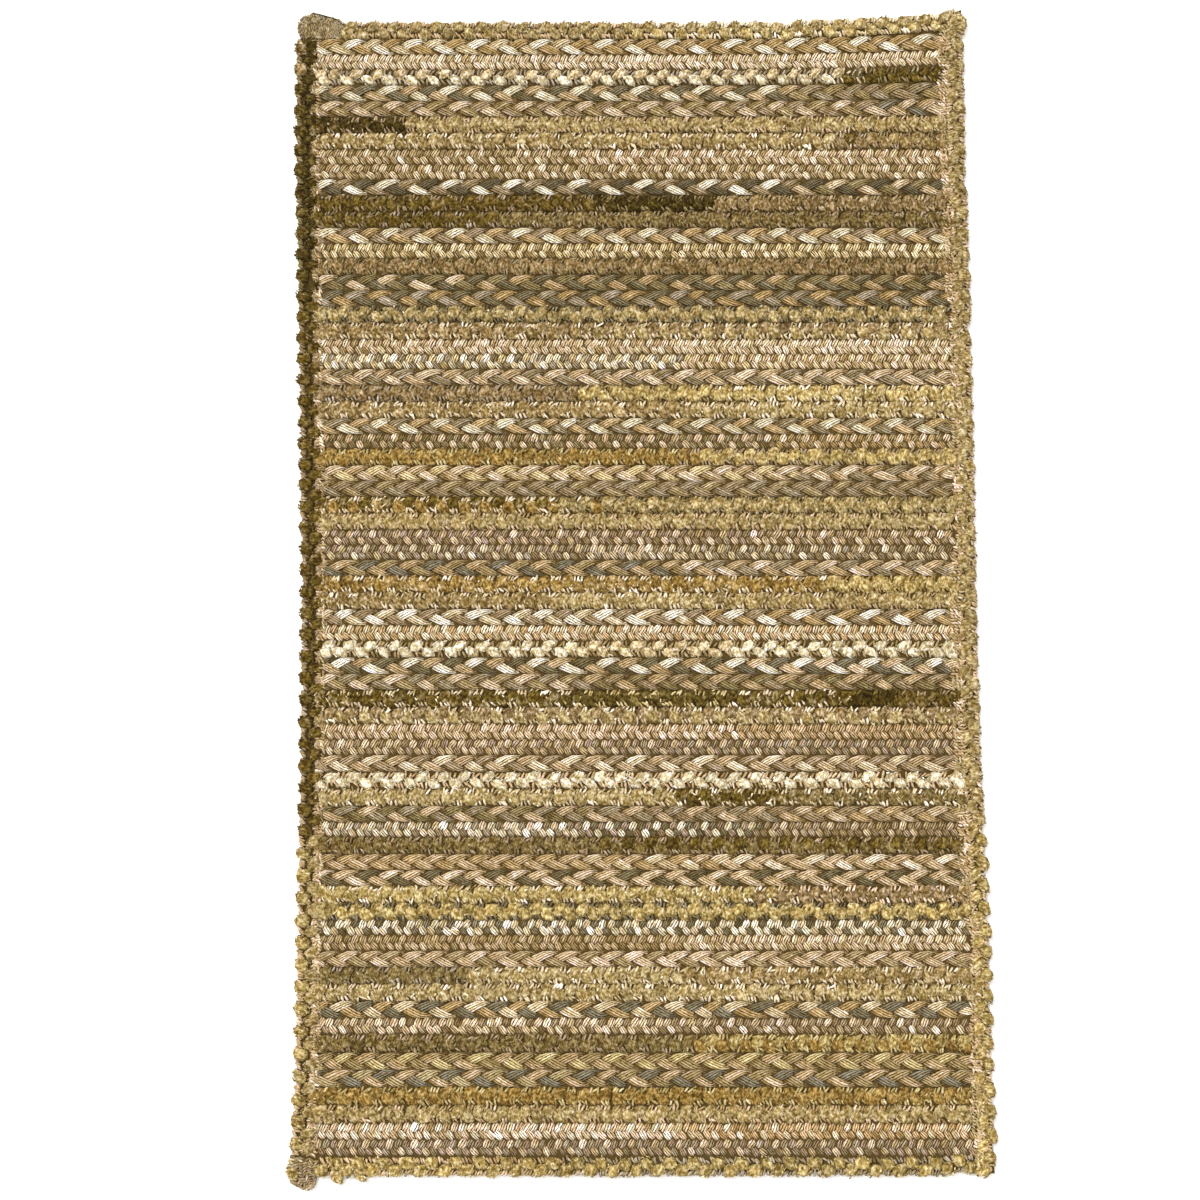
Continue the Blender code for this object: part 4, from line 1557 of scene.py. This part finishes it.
@dataclass(frozen=True)
class Border:
    """The chenille braid round the rug, with lumps along its outer edge.

    Attributes:
        sides: Its four sides.
        seam_spacing: From one stitch beside a side to the next of its line.
        seam_height: How high the middles of those stitches are.
        seam_half_length: Half a stitch's length.
        seam_half_width: Half a stitch's width.
        seam_half_thickness: Half a stitch's thickness.
        row_width: How far on the next row's end begins.
        yarn_stride: How many yarns on it takes its own.
    """

    sides: tuple[BorderSide, ...] = (
        BorderSide(
            "border_left", (0.0, 1.0),
            row((SIDES_TURN, (Y.KHAKI_GOLD, Y.TAN, Y.KHAKI)),
                (370, (Y.DARK_OLIVE, Y.TAUPE, Y.DARK_OLIVE)),
                (716, (Y.BARK, Y.OLIVE_BROWN, Y.DEEP_OLIVE)),
                (END, (Y.TAUPE, Y.KHAKI, Y.TAUPE))),
            border_braid(pitch=28.7, half_length=8.6, half_width=9.6, offset=6.6, between=5,
                         stitch_half=4.6, lean=0.1, pale=0.1, inset=2.6),
            (Y.TAUPE, Y.CREAM, Y.TAN, Y.TAN), (0.5, 5.0),
        ),
        BorderSide(
            "border_right", (0.0, -1.0),
            row((SIDES_TURN, (Y.KHAKI_GOLD, Y.TAN, Y.STRAW)), (END, (Y.KHAKI, Y.TAN, Y.KHAKI))),
            border_braid(pitch=29.5, half_length=10.6, half_width=8.4, offset=4.2, between=3,
                         stitch_half=4.8, lean=0.2, pale=0.08, knobbly_from=1100.0),
            (Y.TAN, Y.PINK, Y.KHAKI, Y.TAN), (-7.5, -2.5, 2.5),
        ),
        BorderSide(
            "border_top", (1.0, 0.0),
            row((0, (Y.KHAKI, Y.TAN, Y.KHAKI)), (END, (Y.KHAKI, Y.CREAM, Y.STRAW))),
            border_braid(pitch=29.5, half_length=9.0, half_width=8.2, offset=4.2, between=4,
                         stitch_half=4.8, lean=0.2, pale=0.08),
        ),
        BorderSide(
            "border_bottom", (-1.0, 0.0),
            row((-100, (Y.STRAW, Y.TAN, Y.STRAW)), (END, (Y.STRAW, Y.GREY_TAUPE, Y.KHAKI_GOLD))),
            border_braid(pitch=31.0, half_length=9.6, half_width=8.2, offset=4.2, between=4,
                         stitch_half=4.8, lean=0.2, pale=0.08),
        ),
    )
    seam_spacing: float = 4.2
    seam_height: float = 5.2
    seam_half_length: float = 4.6
    seam_half_width: float = 2.3
    seam_half_thickness: float = 4.6
    row_width: float = 21.5
    yarn_stride: float = 2.3

    def build(self, nodes: dict[str, bpy.types.Object]) -> dict[str, bpy.types.Object]:
        """Makes a piece for each side.

        Args:
            nodes: The frame's solids by name.

        Returns:
            The pieces by the names of the solids that they replace.
        """
        pieces = {}
        for seed, side in enumerate(self.sides, start=101):
            layup = Layup(side.node.replace("border", "border_braid"))
            track = side_track(nodes[side.node], side.heading)
            side.braid.lay(layup, track, side.stretches, seed, side.axis)
            if side.seam:
                self.seam(layup, track, side, np.random.default_rng(seed))
            pieces[side.node] = layup.piece()
        return pieces

    def seam(
        self, layup: Layup, track: Track, side: BorderSide, rng: np.random.Generator
    ) -> None:
        """Lays the small stitches where the rows' ends turn in beside one side.

        Args:
            layup: The side's piece.
            track: The strip that the side fills.
            side: The side.
            rng: The source of the stitches' randomness.
        """
        table = np.array([yarn.tint for yarn in side.seam])
        for line in side.seam_lines:
            count = int(track.length / self.seam_spacing)
            along = (np.arange(count) + 0.5) * self.seam_spacing
            # Every few stitches are of one yarn, as one row's end is.
            ends = np.floor(along / self.row_width + rng.uniform())
            which = (ends * self.yarn_stride).astype(int) % len(table)
            which = np.where(rng.random(count) < 0.3, rng.integers(0, len(table), count), which)
            Stitches(
                along, line - track.half_width(along) + rng.normal(0, 0.8, count),
                np.full(count, self.seam_height), rng.normal(0.9, 0.4, count),
                self.seam_half_length * rng.normal(1.0, 0.1, count),
                self.seam_half_width * rng.normal(1.0, 0.1, count),
                self.seam_half_thickness * rng.normal(1.0, 0.06, count),
            ).lay(layup, track, browned(table[which], rng.uniform(0.78, 1.2, count)))


def outline_track(
    node: bpy.types.Object, heading: tuple[float, float], steps: int
) -> Track:
    """The strip that a corner end's solid fills, from its outline.

    Args:
        node: The solid.
        heading: The way that the strip runs.
        steps: How many lengths it is measured in.

    Returns:
        The track.
    """
    way, left, along, across = measured(node, heading)
    line, reach = [], []
    for place in np.linspace(along.min() + 0.5, along.max() - 0.5, steps + 1):
        behind, ahead = np.meshgrid(
            np.flatnonzero(along <= place), np.flatnonzero(along > place), indexing="ij"
        )
        share = (place - along[behind]) / (along[ahead] - along[behind])
        rim = across[behind] * (1 - share) + across[ahead] * share
        line.append(way * place + left * (rim.min() + rim.max()) / 2)
        reach.append((rim.max() - rim.min()) / 2)
    return Track(np.array(line), np.array(reach))


@dataclass(frozen=True)
class CornerEnd:
    """A hand-sewn end of the border braid in a corner, wound with fine yarn.

    Attributes:
        node: The end's solid.
        heading: The way that it runs.
        yarns: The yarns that it is wound with.
        lines: How many lines of stitches lie side by side.
        spacing: From one stitch of a line to the next.
        lean: The stitches' angle to their line, turned over from line to line.
        dark_seam: From where to where along the end its rim is sewn with dark yarn.
        lumps: The places of soft chenille lumps beside it, from the rug's middle.
        height: The end's thickness.
        seam_spacing: From one stitch of the dark seam to the next.
        seam_inset: How far in from the rim and down from the top the dark seam lies.
        seam_halves: Half the length, width and thickness of its stitches.
        lump_half: Half the size of a lump beside the end.
        lump_room: How far the short strip under such a lump reaches to each side.
    """

    node: str
    heading: tuple[float, float]
    yarns: tuple[Yarn, ...]
    lines: int
    spacing: float
    lean: float
    dark_seam: tuple[float, ...] = ()
    lumps: tuple[tuple[float, float], ...] = ()
    height: float = 9.0
    seam_spacing: float = 3.2
    seam_inset: float = 1.2
    seam_halves: tuple[float, float, float] = (2.6, 0.9, 1.0)
    lump_half: float = 8.0
    lump_room: float = 12.0

    def build(self, nodes: dict[str, bpy.types.Object]) -> bpy.types.Object:
        """Makes the end: lines of fine stitches side by side over its solid's outline.

        Args:
            nodes: The frame's solids by name.

        Returns:
            The piece.
        """
        rng = np.random.default_rng(self.lines)
        layup = Layup(self.node + "_yarn")
        track = outline_track(nodes[self.node], self.heading, steps=12)
        table = np.array([yarn.tint for yarn in self.yarns])
        count = int(track.length / self.spacing)
        for line in range(self.lines):
            along = (np.arange(count) + 0.5 + 0.5 * (line % 2)) * self.spacing
            along = along.clip(2.5, track.length - 2.5)
            share = (line + 0.5) / self.lines * 2 - 1
            reach = track.half_width(along)
            which = rng.integers(0, len(table), count)
            thick = (1 - 0.3 * share**4) * self.height / 2 - 0.1
            Stitches(
                along, share * (reach - 1.0) + rng.normal(0, 0.5, count),
                np.full(count, self.height / 2),
                self.lean * (-1) ** line + rng.normal(0, 0.3, count),
                0.95 * reach / self.lines + 2.2, np.full(count, 0.62 * self.spacing),
                thick * rng.normal(1.0, 0.06, count),
            ).lay(layup, track, browned(table[which], rng.uniform(0.65, 1.25, count)))
        if self.dark_seam:
            self.seam(layup, track)
        if self.lumps:
            self.balls(layup, rng)
        return layup.piece()

    def seam(self, layup: Layup, track: Track) -> None:
        """Lays the dark sewn line along the end's outer rim.

        Args:
            layup: The end's piece.
            track: The strip that the end fills.
        """
        along = np.arange(*self.dark_seam, self.seam_spacing)
        same = np.ones(len(along))
        rim = np.gradient(track.half_width(along) + track.middle(along)[:, 1], along)
        Stitches(
            along, track.half_width(along) - self.seam_inset,
            (self.height - self.seam_inset) * same, np.arctan(rim),
            *(half * same for half in self.seam_halves),
        ).lay(layup, track, Y.DEEP_OLIVE.tint * 0.6 * same[:, None])

    def balls(self, layup: Layup, rng: np.random.Generator) -> None:
        """Lays soft lumps of chenille at some places of the rug beside the end.

        Args:
            layup: The end's piece.
            rng: The source of the lumps' randomness.
        """
        size = self.lump_half
        braid = Chenille(offset=0.0, half_length=size, half_width=size, tufts=40, pale=0.05)
        room = np.array([0.0, self.lump_room])
        for place in self.lumps:
            spot = Track(np.array([place - room, place + room]), np.full(2, size))
            braid.lumps(layup, spot, row(Y.STRAW, Y.TAUPE), room[1:], side=1, axis=1, rng=rng)


CORNER_ENDS = (
    CornerEnd(
        "corner_end_top_left", (1.0, 0.0),
        (Y.GREY_TAUPE, Y.KHAKI, Y.GREY_TAUPE, Y.OLIVE_TAN),
        lines=8, spacing=3.0, lean=math.radians(58), dark_seam=(24.0, 56.0),
    ),
    CornerEnd(
        "corner_end_bottom_left", (0.0, -1.0), (Y.TAUPE, Y.GREY_TAUPE, Y.KHAKI, Y.MAUVE),
        lines=6, spacing=3.6, lean=math.radians(62),
        lumps=((-440.0, -763.0), (-384.0, -767.5), (-354.0, -764.5)),
    ),
)


@dataclass(frozen=True)
class PaintedShadeSheet:
    """A dark sheet that stands for the shade deep inside the braids: painted shade, which shows between
    their strands and lumps.

    It is made as one thin sheet at about half the rug's height, so it shows alike from above and below.

    Attributes:
        low: How high the sheet's underside is.
        thickness: Its thickness.
        past_offset: How far past the border's outer line of lumps' middles it reaches.
        columns: Its cells across the rug.
        bands: Its cells along the rug.
    """

    low: float = 3.9
    thickness: float = 1.2
    past_offset: float = 2.6
    columns: int = 24
    bands: int = 40

    def build(self, nodes: dict[str, bpy.types.Object]) -> bpy.types.Object:
        """Makes the sheet, which ends a little past the border braid's middle line.

        Args:
            nodes: The frame's solids by name.

        Returns:
            The piece.
        """
        rims = {}
        for side in Border().sides:
            line = side_track(nodes[side.node], side.heading).line
            out = side.braid.offset + self.past_offset
            line = line + out * np.array([-side.heading[1], side.heading[0]])
            rims[side.node] = line[line[:, side.axis].argsort()]
        left, right = rims["border_left"], rims["border_right"]
        top, bottom = rims["border_top"], rims["border_bottom"]
        bm = bmesh.new()
        bmesh.ops.create_grid(bm, x_segments=self.columns, y_segments=self.bands, size=0.5)
        for vert in bm.verts:
            u, v = vert.co.x + 0.5, vert.co.y + 0.5
            y = bottom[:, 1].mean() * (1 - v) + top[:, 1].mean() * v
            near, far = (np.interp(y, rim[:, 1], rim[:, 0]) for rim in (left, right))
            x = near * (1 - u) + far * u
            low, high = (np.interp(x, rim[:, 0], rim[:, 1]) for rim in (bottom, top))
            vert.co = Vector((x, low * (1 - v) + high * v, self.low)) * MM
        bmesh.ops.solidify(bm, geom=bm.faces[:], thickness=-self.thickness * MM)
        bmesh.ops.recalc_face_normals(bm, faces=bm.faces)
        mesh = bpy.data.meshes.new("painted_shade_sheet")
        bm.to_mesh(mesh)
        bm.free()
        mesh.materials.append(PAINTED_SHADE.material())
        return placed("painted_shade_sheet", mesh)


# ----------------------------------------------------------------------- studio
# The camera's axis meets the picture this many of its pixels right of its middle.
PIXELS_OFF_CENTRE = 38
PICTURE_WIDTH = 1200


@dataclass(frozen=True)
class Studio:
    """A pale floor, soft light and a camera that looks down on the rug.

    Attributes:
        floor_half: Half the floor's width, in metres, as are the places below.
        world_light: How strong the light from all round is.
        sun_strength: How strong the soft light is.
        sun_angle: How wide it looks.
        sun_place: Where it comes from.
        light_colour: The colour of both.
        lens: The camera's focal length.
        sensor: The camera's sensor width.
        shift: How far the picture is shifted, as a share of its width.
        eye: Where the camera is.
        target: Where it looks.
    """

    floor_half: float = 14.0
    world_light: float = 1.25
    sun_strength: float = 2.52
    sun_angle: float = math.radians(20)
    sun_place: tuple[float, float, float] = (-1.4, 1.6, 2.4)
    light_colour: tuple[float, float, float, float] = (1.0, 0.97, 0.93, 1.0)
    lens: float = 59.1
    sensor: float = 36.0
    shift: float = -PIXELS_OFF_CENTRE / PICTURE_WIDTH
    eye: tuple[float, float, float] = (0.0027, -0.2882, 2.5945)
    target: tuple[float, float, float] = (0.0027, -0.0240, 0.008)

    def build(self) -> None:
        """Sets up the floor, the lights and the camera."""
        self.floor()
        self.lights()
        self.camera()

    def floor(self) -> None:
        """A pale matt floor under the rug."""
        bm = bmesh.new()
        bmesh.ops.create_grid(bm, x_segments=1, y_segments=1, size=self.floor_half)
        mesh = bpy.data.meshes.new("floor")
        bm.to_mesh(mesh)
        bm.free()
        mesh.materials.append(PALE.material())
        placed("floor", mesh)

    def lights(self) -> None:
        """Even light from all round and one soft light from the top left."""
        world = bpy.data.worlds.new("Studio")
        world.use_nodes = True
        background = world.node_tree.nodes["Background"]
        background.inputs["Color"].default_value = self.light_colour
        background.inputs["Strength"].default_value = self.world_light
        bpy.context.scene.world = world
        lamp = bpy.data.lights.new("soft light", "SUN")
        lamp.energy, lamp.angle = self.sun_strength, self.sun_angle
        lamp.color = self.light_colour[:3]
        made = bpy.data.objects.new("soft light", lamp)
        made.location = self.sun_place
        made.rotation_mode = "QUATERNION"
        made.rotation_quaternion = (-made.location).to_track_quat("-Z", "Y")
        bpy.context.scene.collection.objects.link(made)
        bpy.context.scene.view_settings.view_transform = "Standard"

    def camera(self) -> None:
        """The camera, almost straight above the rug."""
        data = bpy.data.cameras.new("camera")
        data.lens, data.sensor_width, data.sensor_fit = self.lens, self.sensor, "HORIZONTAL"
        data.shift_x = self.shift
        made = bpy.data.objects.new("camera", data)
        made.location = self.eye
        made.rotation_mode = "QUATERNION"
        made.rotation_quaternion = (Vector(self.target) - Vector(self.eye)).to_track_quat("-Z", "Y")
        bpy.context.scene.collection.objects.link(made)
        bpy.context.scene.camera = made


def main() -> None:
    """Dresses the rug."""
    logging.basicConfig(level=logging.INFO, format="%(name)s: %(message)s")
    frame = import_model()
    Studio().build()
    nodes = frame["nodes"]
    pieces = {**Field().build(nodes), **Border().build(nodes)}
    for end in CORNER_ENDS:
        pieces[end.node] = end.build(nodes)
    total = sum(len(face.vertices) - 2 for piece in pieces.values() for face in piece.data.polygons)
    LOG.info("%d triangles in all", total)
    for name, piece in pieces.items():
        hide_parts(name)
        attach(piece, "root")
        LOG.info("%s: %d faces", piece.name, len(piece.data.polygons))
    # The dark sheet of painted shade that shows between the strands and lumps.
    shade_sheet = PaintedShadeSheet().build(nodes)
    LOG.info("%s: %d faces", shade_sheet.name, len(shade_sheet.data.polygons))
    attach(shade_sheet, "root")


if __name__ == "__main__":
    main()
